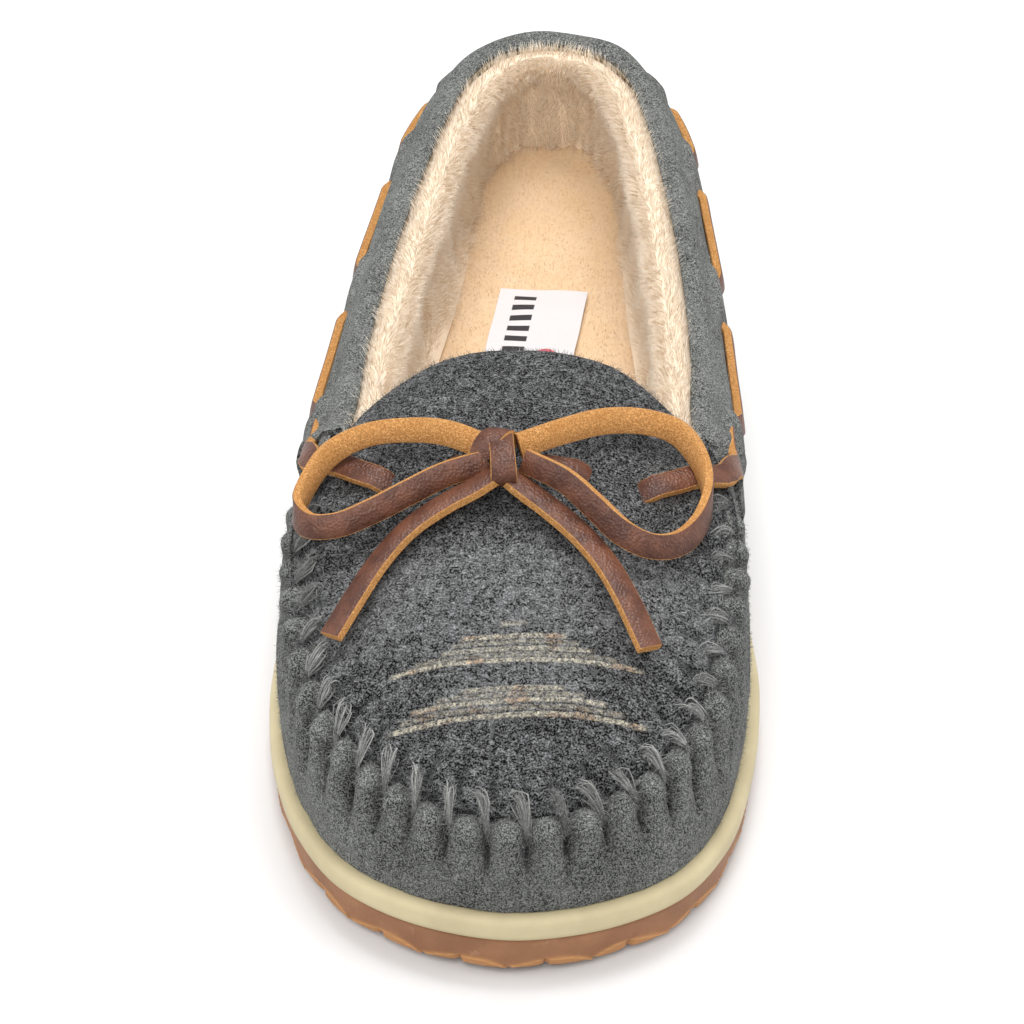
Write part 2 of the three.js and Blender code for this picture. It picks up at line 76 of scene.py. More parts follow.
# Half stations from the heel round the outer side to the toe: sole x y, swell, shoulder x y z,
# rim x y z, roll of the top line.
STATIONS = np.array([
    [0, 129.5, 1, 0, 121.5, 57, 0, 113.5, 63, 3.2],
    [16, 126.5, 1.2, 13.5, 118, 57, 10, 110.5, 62.8, 3.2],
    [27.5, 114, 2, 23, 106, 56, 17.5, 102, 61.8, 3],
    [32.5, 92, 3.8, 28.8, 88, 54.5, 22.3, 86, 60.2, 2.8],
    [33.5, 64, 4.6, 33, 62, 52, 27.2, 61, 57.6, 2.8],
    [35, 34, 5.4, 36.6, 34, 50, 31, 34, 55.2, 2.7],
    [39.5, 4, 3.8, 39.4, 4, 48.5, 33.6, 4, 54.2, 2.6],
    [46, -22, 1.4, 41.4, -23, 48, 34.8, -26, 55, 2.2],
    [49.6, -50, 0.8, 44.6, -50, 44, 41.2, -50, 51.2, 1.4],
    [47.4, -78, 1, 43.4, -78, 37, 39, -78, 43, 1.4],
    [41.2, -99, 1, 38.2, -97, 32, 35, -92.5, 38, 1.4],
    [32, -113, 0.8, 29.5, -109, 29, 26.5, -103.5, 34.5, 1.4],
    [17, -122.4, 0.5, 15.2, -118.2, 27, 13.5, -113.2, 32.3, 1.4],
    [0, -126, 0.5, 0, -121.8, 27, 0, -116.4, 32, 1.4],
])
TOE = len(STATIONS) - 1
TURN = 2 * TOE
THROAT = 7.12  # station where the opening meets the gathered toe
PLUG_START = 7
PLUG_CROWN = np.array([10.5, 10.2, 10.8, 8.6, 5, 1.6, 0])
PLUG_BOW = np.array([13.5, 5, 2, 0, -2, -3, 0])


# ---- small maths
def smooth(x, low, high):
    t = np.clip((x - low) / (high - low), 0, 1)
    return t * t * (3 - 2 * t)


def lerp(a, b, t):
    return a + (b - a) * t


def unit(v):
    return v / np.maximum(np.linalg.norm(v, axis=-1, keepdims=True), 1e-9)


def hump(x, at, width):
    """1 at the middle of a bell, falling to nothing a few widths away."""
    return np.exp(-(((x - at) / width) ** 2))


def grid(s, v):
    return np.meshgrid(s, v, indexing="ij")


def two_faces(upper, lower):
    """Rows that run along one face and back along the other."""
    return np.concatenate([upper, lower[:, ::-1]], 1)


def walked(line):
    """Distance walked along a line at each of its points."""
    return np.concatenate([[0], np.cumsum(np.linalg.norm(np.diff(line, axis=0), axis=1))])


def looked_up(at, run, triples):
    """Triples read off at distances along the run that they were given for."""
    return np.stack([np.interp(at, run, triples[:, k]) for k in range(3)], 1)


def plan_gaps(places, others):
    """Distance in plan from every place to each of the others."""
    aside = places[:, None, 0] - others[None, :, 0]
    return np.hypot(aside, places[:, None, 1] - others[None, :, 1])


def chance(k, salt=0):
    """A fixed number from 0 to 1 for each k."""
    return np.modf(np.abs(np.sin(np.asarray(k, float) * 12.9898 + salt * 78.233) * 43758.5453))[0]


def ripple(x, y, salt=0):
    """Soft irregular waves over a plane, about -1 to 1."""
    total = 0
    for k in range(5):
        turn = 2.4 * k + 1.3 * salt
        pace = 1 + 0.43 * k
        total = total + np.sin(pace * (x * math.cos(turn) + y * math.sin(turn)) + 5.1 * k + salt)
    return total / 3


def centripetal(a, b, c, d, w):
    """The point at w between b and c on the centripetal curve through four points."""
    w = w[..., None]
    gap = lambda p, q: np.maximum(np.linalg.norm(q - p, axis=-1, keepdims=True) ** 0.5, 1e-4)
    d0, d1, d2 = gap(a, b), gap(b, c), gap(c, d)
    m1 = ((b - a) / d0 - (c - a) / (d0 + d1)) * d1 + (c - b)
    m2 = (c - b) + ((d - c) / d2 - (d - b) / (d1 + d2)) * d1
    cube = 2 * b - 2 * c + m1 + m2
    square = 3 * c - 3 * b - 2 * m1 - m2
    return b + w * (m1 + w * (square + w * cube))


def through(points, t):
    """Open curve through points, each an array of places, at t from 0 to the last point."""
    p = np.stack([2 * points[0] - points[1], *points, 2 * points[-1] - points[-2]])
    i = np.clip(np.floor(t).astype(int), 0, len(points) - 2)

    def pick(k):
        index = np.broadcast_to((i + k)[None, ..., None], (1, *p.shape[1:]))
        return np.take_along_axis(p, index, 0)[0]

    return centripetal(*(pick(k) for k in range(4)), t - i)


def line_through(points, count):
    """Places evenly along the open curve through points."""
    p = np.array(points, float)
    t = np.linspace(0, len(p) - 1, 40 * len(p))
    fine = through([np.broadcast_to(q, (len(t), 3)) for q in p], t)
    run = walked(fine)
    return looked_up(np.linspace(0, run[-1], count), run, fine)


def bend(y):
    return lerp(-1.2, 0.8, smooth(-y, 55, 115))


def toe_lift(y):
    return np.clip((-y - 50) / 76, 0, 1) ** 2


def sole_top(y):
    return OUTSOLE + MIDSOLE + TOE_SPRING * toe_lift(y)


# ---- the last
def ring(columns):
    """A closed line round the slipper through the mirrored stations."""
    half = np.zeros((TOE + 1, 3))
    half[:, : len(columns)] = STATIONS[:, columns]
    left = half[1:-1][::-1] * [-1, 1, 1]
    points = np.concatenate([half, left])
    points[:, 0] += bend(points[:, 1])

    def at(s):
        s = np.asarray(s, float) % TURN
        i = np.floor(s).astype(int)
        return centripetal(*(points[(i + k) % TURN] for k in (-1, 0, 1, 2)), s - i)

    return at


SOLE = ring([0, 1])
SHOULDER = ring([3, 4, 5])
RIM = ring([6, 7, 8])


def amount(column, s):
    """A station's single value at s, the same on both sides."""
    half = TOE - np.abs(TOE - np.asarray(s, float) % TURN)
    i = np.clip(np.floor(half).astype(int), 0, TOE - 1)
    return lerp(STATIONS[i, column], STATIONS[i + 1, column], smooth(half - i, 0, 1))


def outwards(line, s):
    s = np.asarray(s, float)
    t = line(s + 0.02) - line(s - 0.02)
    return unit(np.stack([-t[..., 1], t[..., 0], 0 * t[..., 0]], -1))


def wall_point(s, v):
    """Outer face of the upper: s runs round the slipper, v climbs from the sole to the rim."""
    s, v = np.broadcast_arrays(np.asarray(s, float), np.clip(v, 0, 1))
    out = outwards(SOLE, s)
    foot = SOLE(s) - out * WELT
    foot[..., 2] = sole_top(foot[..., 1]) + GAP
    shoulder = SHOULDER(s)
    rim = RIM(s)
    belly = lerp(foot, shoulder, 0.4) + out * amount(2, s)[..., None]
    rise = amount(9, s)[..., None]
    crest = lerp(shoulder, rim, 0.42) + out * rise * 0.35 + rise * np.array([0, 0, 1])
    return through([foot, belly, shoulder, crest, rim], v * 4)


def wall_normal(s, v):
    e = 0.02
    along = wall_point(s + e, v) - wall_point(s - e, v)
    up = wall_point(s, v + e) - wall_point(s, v - e)
    return unit(np.cross(up, along))


def wall(s, v, lift=0):
    s, v, lift = np.broadcast_arrays(s, v, lift)
    return wall_point(s, v) + wall_normal(s, v) * lift[..., None]


def plug_point(u, s):
    """Upper face of the plug: u crosses it to the outer side, s runs from throat to toe."""
    side = lambda k: RIM(k) - outwards(RIM, k) * 0.6
    p = lerp(side(TURN - s), side(s), u[..., None])
    i = np.clip(np.floor(s).astype(int) - PLUG_START, 0, 5)
    w = smooth(s - PLUG_START - i, 0, 1)
    t = np.abs(2 * u - 1)
    p[..., 2] += lerp(PLUG_CROWN[i], PLUG_CROWN[i + 1], w) * (1 - t**2.4)
    p[..., 1] += lerp(PLUG_BOW[i], PLUG_BOW[i + 1], w) * (1 - t**2.8)
    return p


def plug_normal(u, s):
    e = 0.02
    across = plug_point(np.minimum(u + e, 1), s) - plug_point(np.maximum(u - e, 0), s)
    along = plug_point(u, s + e) - plug_point(u, s - e)
    return unit(np.cross(along, across))


def plug(u, s, lift=0):
    u, s, lift = np.broadcast_arrays(np.asarray(u, float), np.asarray(s, float), lift)
    return plug_point(u, s) + plug_normal(u, s) * lift[..., None]


RIM_S = np.linspace(0, TURN, 2601)
RIM_PLACES = RIM(RIM_S)
RIM_LENGTH = walked(RIM_PLACES)
RIM_MIDDLE = np.interp(TOE, RIM_S, RIM_LENGTH)


def rim_phase(s):
    """Puckers counted along the rim: whole numbers lie in the creases."""
    return (np.interp(np.asarray(s, float) % TURN, RIM_S, RIM_LENGTH) - RIM_MIDDLE) / PUCKER_PITCH + 0.5


def rim_station(phase):
    return np.interp((phase - 0.5) * PUCKER_PITCH + RIM_MIDDLE, RIM_LENGTH, RIM_S)


def past_throat(s):
    """0 at the throat to 1 where the gathers are at full strength."""
    return smooth(TOE - np.abs(TOE - s % TURN), THROAT + 0.25, THROAT + 1.2)


def arch(phase):
    """0 in a crease, 1 on the lobe between two."""
    near = np.abs(phase - np.round(phase))
    return (1 - (1 - 2 * near) ** 2) ** 0.4


def pucker(s, v):
    """How far the gathered vamp stands off its smooth shape."""
    phase = rim_phase(s) + 0.22 * np.sin(1.7 * rim_phase(s)) * (1 - v) ** 2
    k = np.round(phase)
    side = smooth(np.abs(TOE - np.asarray(s, float) % TURN), 1.0, 2.6)
    start = 0.3 + 0.14 * chance(k, 1) - 0.12 * side
    short = smooth(v, start, start + 0.3) * lerp(0.75, 1.15, chance(k, 2))
    fold = smooth(v, 0.04, 0.6) * lerp(0.1, 0.6, chance(k, 3)) * (1 + 1.6 * side)
    lobe = np.floor(phase)
    bulge = 0.5 * (chance(lobe, 4) - 0.3) * np.sin(np.pi * (phase - lobe)) ** 2 * smooth(v, 0.5, 0.8)
    knuckle = 1.4 * smooth(v, 0.6, 0.8) * (1 - 1.3 * smooth(v, 0.86, 1.0)) * arch(phase)
    relief = (4.6 * short + fold) * (arch(phase) - 0.78) + bulge + knuckle
    return relief * past_throat(s) + 0.12 * ripple(0.5 * phase * PUCKER_PITCH, 14 * v)


# ---- meshes
def frame_shift():
    """Millimetres from the stations' own frame to the part's frame."""
    low, high = (np.array(c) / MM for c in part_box("midsole"))
    edge = SOLE(RIM_S)
    middle = (edge.min(0) + edge.max(0)) / 2
    shift = (low + high) / 2 - middle
    return np.array([shift[0], shift[1], 0.0])


SHIFT = frame_shift()


def placed(points):
    return (np.asarray(points, float) + SHIFT) * MM


def loft(sections):
    """Points and outward quads of a skin through rows of section loops, zipped shut at both ends."""
    n, m = sections.shape[:2]
    i = np.arange(n - 1)[:, None] * m
    j = np.arange(m)[None]
    k = (j + 1) % m
    sides = np.stack([i + j, i + m + j, i + m + k, i + k], -1).reshape(-1, 4)
    q = np.arange(m // 2 - 1)
    end = np.stack([q, q + 1, m - 2 - q, m - 1 - q], -1)
    points = sections.reshape(-1, 3)
    quads = np.concatenate([sides, end, end[:, ::-1] + (n - 1) * m])
    return points, quads[:, ::-1] if inside_out(points, quads) else quads


def inside_out(points, quads):
    p = points - points.mean(0)
    a, b, c, d = (p[quads[:, k]] for k in range(4))
    return (a * np.cross(b, c)).sum() + (a * np.cross(c, d)).sum() < 0


def mesh_piece(name, skin, material, replaces, attributes=None, crease=40):
    """A finished object from the points, in millimetres, and quads of a skin."""
    points, quads = skin
    mesh = bpy.data.meshes.new(name)
    mesh.vertices.add(len(points))
    mesh.vertices.foreach_set("co", placed(points).astype(np.float32).ravel())
    mesh.loops.add(quads.size)
    mesh.loops.foreach_set("vertex_index", quads.astype(np.int32).ravel())
    mesh.polygons.add(len(quads))
    mesh.polygons.foreach_set("loop_start", np.arange(0, quads.size, 4, dtype=np.int32))
    mesh.update(calc_edges=True)
    mesh.validate()
    mesh.shade_smooth()
    mesh.set_sharp_from_angle(angle=math.radians(crease))
    for key, values in (attributes or {}).items():
        put_attribute(mesh, key, values)
    mesh.materials.append(material)
    piece = finished(name, mesh)
    if replaces:
        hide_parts(replaces)
    return piece


def put_attribute(mesh, key, values):
    """A number or a triple for each point, or a single number for all of them."""
    count = len(mesh.vertices)
    values = np.asarray(values, np.float32)
    if not values.ndim:
        values = np.full(count, values)
    kind, field = ("FLOAT_VECTOR", "vector") if values.size == 3 * count else ("FLOAT", "value")
    mesh.attributes.new(key, kind, "POINT").data.foreach_set(field, values.ravel())


def in_scene(name, data):
    made = bpy.data.objects.new(name, data)
    bpy.context.collection.objects.link(made)
    return made


def finished(name, mesh):
    piece = in_scene(name, mesh)
    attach(piece, "root")
    return piece


def shell(s, v, outer, inner):
    """A closed skin up an outer face and down an inner one."""
    S, V = grid(s, v)
    return loft(two_faces(outer(S, V), inner(S, V)))


# ---- shader writing
def paint(r, g, b):
    """An sRGB colour, 0 to 255, as a linear shader colour."""
    scaled = [c / 255 for c in (r, g, b)]
    return (*[c / 12.92 if c <= 0.04045 else ((c + 0.055) / 1.055) ** 2.4 for c in scaled], 1)


class Wire:
    """A node's output that adds, multiplies and compares like a Python number."""

    def __init__(self, graph, socket):
        self.graph = graph
        self.socket = socket

    def math(self, kind, other=None):
        sockets = {0: self} if other is None else {0: self, 1: other}
        return self.graph.node("ShaderNodeMath", {"operation": kind}, sockets)

    def __add__(self, other):
        return self.math("ADD", other)

    def __sub__(self, other):
        return self.math("SUBTRACT", other)

    def __mul__(self, other):
        return self.math("MULTIPLY", other)

    __radd__ = __add__
    __rmul__ = __mul__

    def step(self, low=0.3, high=0.7):
        """0 below low to 1 above high, or falling where low is the larger."""
        sockets = {"Value": self, "From Min": low, "From Max": high}
        return self.graph.node("ShaderNodeMapRange", {"interpolation_type": "SMOOTHSTEP"}, sockets)


class Nodes:
    """A node tree written in short calls."""

    def node(self, kind, settings=None, sockets=None, out=0):
        made = self.tree.nodes.new(kind)
        for key, value in (settings or {}).items():
            setattr(made, key, value)
        for key, value in (sockets or {}).items():
            self.feed(made.inputs[key], value)
        return Wire(self, made.outputs[out])

    def feed(self, socket, value):
        if isinstance(value, Wire):
            self.tree.links.new(value.socket, socket)
        else:
            socket.default_value = value


class Graph(Nodes):
    """One material's node tree around a Principled shader."""

    def __init__(self, name):
        self.material = bpy.data.materials.new(name)
        self.material.use_nodes = True
        self.tree = self.material.node_tree
        self.tree.nodes.clear()
        self.shader = self.tree.nodes.new("ShaderNodeBsdfPrincipled")
        end = self.tree.nodes.new("ShaderNodeOutputMaterial")
        self.tree.links.new(self.shader.outputs[0], end.inputs[0])

    def attribute(self, name, out="Fac"):
        return self.node("ShaderNodeAttribute", {"attribute_name": name}, out=out)

    def columns(self, name):
        """The first two numbers of a vector attribute."""
        parts = self.node("ShaderNodeSeparateXYZ", sockets={0: self.attribute(name, "Vector")})
        return [Wire(self, parts.socket.node.outputs[k]) for k in (0, 1)]

    def pattern(self, kind, size, **sockets):
        where = self.node("ShaderNodeTexCoord", out="Object")
        return self.node(kind, sockets={"Vector": where, "Scale": 1 / (size * MM), **sockets})

    def noise(self, size, detail, rough, twist=0):
        """Cloudy noise whose features are size millimetres across."""
        sockets = {"Detail": detail, "Roughness": rough, "Distortion": twist}
        return self.pattern("ShaderNodeTexNoise", size, **sockets)

    def cells(self, size):
        return self.pattern("ShaderNodeTexVoronoi", size)

    def mix(self, factor, a, b):
        """Between two colours, each a wire or sRGB numbers."""
        a, b = (c if isinstance(c, Wire) else paint(*c) for c in (a, b))
        return self.node("ShaderNodeMix", {"data_type": "RGBA"}, {0: factor, 6: a, 7: b}, 2)

    def bump(self, height, depth):
        return self.node("ShaderNodeBump", sockets={"Height": height, "Distance": depth * MM})

    def finish(self, **sockets):
        for key, value in sockets.items():
            self.feed(self.shader.inputs[key.replace("_", " ")], value)
        return self.material


# ---- materials
def suede(name, dark, light, contrast, sheen):
    """Napped leather: fine pepper-and-salt specks over cloudy brushing."""
    g = Graph(name)
    speck = g.noise(0.3, 1, 0.6).step(0.4, 0.6)
    fleck = g.noise(0.85, 2, 0.6, twist=0.6).step(0.4, 0.62)
    cloud = g.noise(9, 3, 0.55).step()
    level = speck * contrast + fleck * 0.2 + cloud * 0.16
    # painted shade: where this attribute is set the colour darkens towards near black, for shade in the
    # vamp's creases, on its lower front and on the cuff's inner face; on the cuff it also draws a
    # darker line along the stitching
    pit = g.attribute("pit")
    tone = g.mix(level, dark, light)
    shaded = g.mix(pit * 0.95, tone, [0.35 * c for c in dark])
    height = speck * 0.6 + fleck * 0.5 + cloud * 0.4
    return g.finish(
        Base_Color=shaded,
        Roughness=0.82 + 0.14 * fleck,
        Normal=g.bump(height, 0.28),
        Sheen_Weight=sheen,
        Sheen_Roughness=0.5,
        Specular_IOR_Level=0.12,
    )


RIB_PITCH = 1.25
DASH_PITCH = 2.6
STRIPES = [
    # weft position, left end, right end, strength
    (-82.6, -1.8, 1.9, 0.6),
    (-85.0, -9.0, 9.6, 0.9),
    (-86.1, -10.8, 12.0, 0.45),
    (-87.3, -12.6, 14.8, 0.75),
    (-88.4, -17.5, 19.5, 0.45),
    (-89.4, -22.2, 24.3, 1.0),
    (-94.8, -8.4, 9.5, 0.7),
    (-95.8, -13.0, 13.6, 0.45),
    (-96.8, -17.6, 17.6, 0.85),
    (-98.0, -19.6, 21.0, 0.45),
    (-99.2, -21.5, 25.0, 1.0),
]


def woven_wool():
    """Brushed flannel, dark heather with a paler band and dashed cream weft stripes."""
    g = Graph("woven_wool")
    x, weft = g.columns("cloth")
    fine = g.noise(0.36, 1, 0.6).step(0.42, 0.58)
    heather = g.noise(1.7, 2, 0.7, twist=0.8).step(0.4, 0.62)
    cloud = g.noise(8, 2, 0.5).step(0.35, 0.65)
    wander = g.noise(6, 2, 0.6)
    reach = weft + wander * 5
    band = reach.step(-85.5, -79) * reach.step(-60, -66)
    filling = reach.step(-97, -94) * reach.step(-80, -84) * (x * x).step(230, 90)
    pale = band.math("MAXIMUM", filling * 0.8)
    rib = (weft * (2 * math.pi / RIB_PITCH) + x * 1.2).math("SINE")
    twill = rib.step(0.2, 1.0) * g.noise(0.8, 2, 0.7).step(0.42, 0.6)
    level = fine * 0.6 + heather * 0.42 + cloud * 0.08 + pale * 0.24 + twill * 0.26 - 0.27
    ground = g.mix(level, (8, 8, 9), (142, 143, 144))
    lines = None
    for k, (at, left, right, strength) in enumerate(STRIPES):
        away = (weft + (wander - 0.5) * 0.6 - at).math("ABSOLUTE")
        span = x.step(left - 1.2, left + 0.4), x.step(right + 1.2, right - 0.4)
        thread = away.step(0.6, 0.25) * span[0] * span[1]
        dash = (x * (2 * math.pi / DASH_PITCH) + 1.9 * k).math("SINE").step(-1.7, 0.3)
        one = thread * (0.35 + 0.65 * dash) * strength
        lines = one if lines is None else lines.math("MAXIMUM", one)
    worn = lines * (0.2 + g.noise(0.5, 2, 0.8).step(0.4, 0.58))
    warm = g.noise(5.5, 1, 0.5).step(0.56, 0.66)
    yarn = g.mix(warm * 0.55, (206, 198, 178), (204, 160, 124))
    height = fine * 0.7 + heather * 0.8 + twill * 0.8 + worn * 0.5
    return g.finish(
        Base_Color=g.mix(worn, ground, yarn),
        Roughness=0.9 + 0.08 * fine,
        Normal=g.bump(height, 0.4),
        Sheen_Weight=0.06,
        Sheen_Roughness=0.5,
        Specular_IOR_Level=0.08,
    )


def fleece(name, root, tip, spread, glow):
    """Cream pile: each strand pales from root to tip, the darker warmer roots being painted shade deep
    in the pile; tufts differ a little, and a faint warm glow over it all is painted light.
    """
    g = Graph(name)
    along = g.attribute("tip")
    tone = g.attribute("tone")
    cloud = g.noise(7, 3, 0.6).step()
    # painted shade: darker and warmer towards the root
    root_shaded_colour = g.mix(along.step(0.0, 0.85), root, tip)
    warm = [tip[0] - 14, tip[1] - 26, tip[2] - 44]
    shade = g.mix((tone * 0.6 + cloud * 0.4) * spread, root_shaded_colour, warm)
    return g.finish(
        Base_Color=shade,
        # painted light: the pile glows faintly warm, which lifts its shadows
        Emission_Color=paint(255, 218, 178),
        Emission_Strength=glow,
        Roughness=0.72 + 0.2 * cloud,
        Normal=g.bump(g.noise(1.2, 3, 0.7), 0.5),
        Sheen_Weight=0.35,
        Sheen_Roughness=0.45,
        Specular_IOR_Level=0.15,
    )


def strand_wool(name, dark, light):
    g = Graph(name)
    tone = g.attribute("tone")
    speck = g.noise(0.5, 2, 0.7).step()
    fibre = g.mix(tone * 0.7 + speck * 0.3, dark, light)
    return g.finish(
        Base_Color=fibre,
        Roughness=0.85 + 0.1 * speck,
        Sheen_Weight=0.2,
        Specular_IOR_Level=0.1,
    )


def lace_leather():
    """Brown glazed grain on one face, tan fuzzy flesh on the other face and the cut edges."""
    g = Graph("lace_leather")
    flesh = g.attribute("flesh")
    pebble = g.cells(0.55)
    cloud = g.noise(5, 3, 0.6).step()
    fine = g.noise(0.35, 3, 0.75).step()
    worn = g.noise(1.6, 3, 0.7).step(0.55, 0.8)
    grain = g.mix(cloud, (72, 40, 28), (104, 64, 46))
    polished = g.mix(worn * 0.25, grain, (132, 90, 66))
    split = g.mix(fine, (176, 112, 50), (250, 190, 118))
    raw = g.mix(cloud * 0.35, split, (206, 140, 70))
    side = flesh.step(0.35, 0.65)
    height = g.node("ShaderNodeMix", {"data_type": "FLOAT"}, {0: side, 2: pebble, 3: fine * 1.6})
    return g.finish(
        Base_Color=g.mix(side, polished, raw),
        Roughness=side * 0.42 + 0.42 + worn * 0.1,
        Normal=g.bump(height, 0.16),
        Specular_IOR_Level=0.4,
    )


def cream_rubber():
    g = Graph("cream_rubber")
    cloud = g.noise(14, 3, 0.6).step()
    fine = g.noise(1.1, 3, 0.6)
    scuff = g.noise(2.4, 4, 0.7).step(0.62, 0.74)
    tone = g.mix(cloud, (184, 171, 136), (197, 184, 148))
    # darker towards the bottom of the band, besides the scuffs
    low = g.attribute("low")
    worn = g.mix(scuff * 0.2 + low * 0.45, tone, (176, 158, 118))
    return g.finish(
        Base_Color=worn,
        Roughness=0.5 + 0.15 * fine + 0.1 * scuff,
        Normal=g.bump(fine + scuff * 0.6, 0.1),
        Specular_IOR_Level=0.35,
    )


def gum_rubber():
    g = Graph("gum_rubber")
    cloud = g.noise(11, 3, 0.6).step()
    fine = g.noise(0.8, 3, 0.65)
    scuff = g.noise(3.2, 4, 0.7).step(0.6, 0.75)
    edge = g.attribute("edge")
    tone = g.mix(cloud, (130, 88, 58), (150, 104, 70))
    # painted light: the strip's scalloped edge and the lugs are lightened towards orange, standing in
    # for light passing through thin rubber
    lit = g.mix(edge * 0.8, tone, (205, 148, 88))
    return g.finish(
        Base_Color=g.mix(scuff * 0.3, lit, (200, 158, 128)),
        Roughness=0.42 + 0.2 * fine + 0.1 * scuff,
        Normal=g.bump(fine + scuff * 0.5, 0.14),
        Specular_IOR_Level=0.4,
    )


def label_cloth():
    """Woven satin label with plain printed bars and a dot."""
    g = Graph("label_cloth")
    x, y = g.columns("cloth")
    warp = (x * 24).math("SINE") * 0.5 + 0.5
    weave = (y * 24).math("SINE") * 0.5 + 0.5
    bars = (y * 1.55).math("SINE").step(-0.05, 0.05)
    along = (y - (LABEL_MIDDLE - LABEL_LOW)).math("ABSOLUTE").step(13.6, 13.4)
    band = x.step(-6.4, -6.2) * x.step(-1.2, -1.4) * along
    dot = ((x - 3.5) * (x - 3.5) + (y - 7) * (y - 7)).step(7, 6)
    white = g.mix(warp * weave * 0.4, (226, 224, 226), (205, 203, 208))
    printed = g.mix(bars * band, white, (46, 44, 50))
    return g.finish(
        Base_Color=g.mix(dot, printed, (214, 96, 110)),
        Roughness=0.55 + 0.2 * weave,
        Normal=g.bump(warp + weave, 0.05),
    )


def filler(name, dark, light, size):
    """Foam, board and counter material inside the upper."""
    g = Graph(name)
    grain = g.noise(size, 4, 0.7).step()
    pores = g.cells(size)
    tone = g.mix(grain, dark, light)
    return g.finish(Base_Color=tone, Roughness=0.8 + 0.15 * grain, Normal=g.bump(pores + grain, 0.3))


def floor_paint():
    g = Graph("floor_paint")
    grain = g.noise(40, 2, 0.5)
    tone = g.mix(grain, (219, 219, 219), (221, 221, 221))
    return g.finish(Base_Color=tone, Roughness=0.85 + 0.1 * grain, Specular_IOR_Level=0.05)


# ---- repeated details
class GeometryGraph(Nodes):
    """A geometry node group with named inputs, written like the shaders."""

    def __init__(self, name, inputs):
        self.tree = bpy.data.node_groups.new(name, "GeometryNodeTree")
        face = self.tree.interface
        face.new_socket("Geometry", in_out="OUTPUT", socket_type="NodeSocketGeometry")
        for key, kind in {"Geometry": "Geometry", **inputs, "Material": "Material"}.items():
            face.new_socket(key, in_out="INPUT", socket_type="NodeSocket" + kind)
        self.start = self.tree.nodes.new("NodeGroupInput")
        self.end = self.tree.nodes.new("NodeGroupOutput")

    def given(self, name):
        return Wire(self, self.start.outputs[name])

    def named(self, name, kind):
        return self.node("GeometryNodeInputNamedAttribute", {"data_type": kind}, {"Name": name})

    def vector(self, kind, a, b):
        sockets = {0: a, "Scale" if kind == "SCALE" else 1: b}
        return self.node("ShaderNodeVectorMath", {"operation": kind}, sockets)

    def random(self, low, high, kind="FLOAT", out=1):
        """An even random value for each point, from the tree's seed."""
        sockets = {"Min": low, "Max": high, "Seed": self.given("Seed")}
        return self.node("FunctionNodeRandomValue", {"data_type": kind}, sockets, out)

    def copies(self, shape, points, facing, size):
        held = self.node("GeometryNodeObjectInfo", sockets={"Object": shape}, out="Geometry")
        sockets = {"Points": points, "Instance": held, "Rotation": facing, "Scale": size}
        return self.node("GeometryNodeInstanceOnPoints", sockets=sockets)

    def deliver(self, geometry):
        solid = self.node("GeometryNodeRealizeInstances", sockets={0: geometry})
        sockets = {"Geometry": solid, "Material": self.given("Material")}
        self.feed(self.end.inputs[0], self.node("GeometryNodeSetMaterial", sockets=sockets))
        return self.tree


def pile_tree():
    """Strands scattered over a surface, leaning with its normal, a lay and a clumping field."""
    inputs = {"Strand": "Object", "Seed": "Int", "Lay": "Vector"}
    for name in ("Density", "Shortest", "Longest", "Thickness", "Clump Size", "Clump Lean", "Scatter"):
        inputs[name] = "Float"
    g = GeometryGraph("pile", inputs)
    density = g.named("cover", "FLOAT") * g.given("Density")
    sockets = {"Mesh": g.given("Geometry"), "Density": density, "Seed": g.given("Seed")}
    points = g.node("GeometryNodeDistributePointsOnFaces", {"distribute_method": "RANDOM"}, sockets)
    where = g.node("GeometryNodeInputPosition")
    sockets = {"Vector": where, "Scale": g.given("Clump Size"), "Detail": 1.0}
    cloud = g.node("ShaderNodeTexNoise", {"noise_dimensions": "3D"}, sockets, "Color")
    lean = g.vector("SCALE", g.vector("SUBTRACT", cloud, (0.5, 0.5, 0.5)), g.given("Clump Lean"))
    stray = g.random((-1, -1, -1), (1, 1, 1), "FLOAT_VECTOR", 0)
    wild = g.vector("SCALE", stray, g.given("Scatter"))
    aim = Wire(g, points.socket.node.outputs["Normal"])
    for part in (lean, wild, g.given("Lay")):
        aim = g.vector("ADD", aim, part)
    turn = g.node("FunctionNodeAlignRotationToVector", {"axis": "Z"}, {"Vector": aim})
    about = g.node("ShaderNodeCombineXYZ", sockets={2: g.random(0.0, 2 * math.pi)})
    twist = g.node("FunctionNodeEulerToRotation", sockets={0: about})
    sockets = {"Rotation": turn, "Rotate By": twist}
    facing = g.node("FunctionNodeRotateRotation", {"rotation_space": "LOCAL"}, sockets)
    tall = g.random(g.given("Shortest"), g.given("Longest"))
    wide = g.given("Thickness")
    size = g.node("ShaderNodeCombineXYZ", sockets={0: wide, 1: wide, 2: tall})
    rows = g.copies(g.given("Strand"), points, facing, size)
    settings = {"data_type": "FLOAT", "domain": "INSTANCE"}
    sockets = {"Geometry": rows, "Name": "tone", "Value": g.random(0.0, 1.0)}
    return g.deliver(g.node("GeometryNodeStoreNamedAttribute", settings, sockets))


def row_tree():
    """One shape set on every point, turned and sized by the point's own attributes."""
    g = GeometryGraph("row", {"Shape": "Object"})
    facing = g.node("FunctionNodeEulerToRotation", sockets={0: g.named("turn", "FLOAT_VECTOR")})
    size = g.named("size", "FLOAT_VECTOR")
    return g.deliver(g.copies(g.given("Shape"), g.given("Geometry"), facing, size))


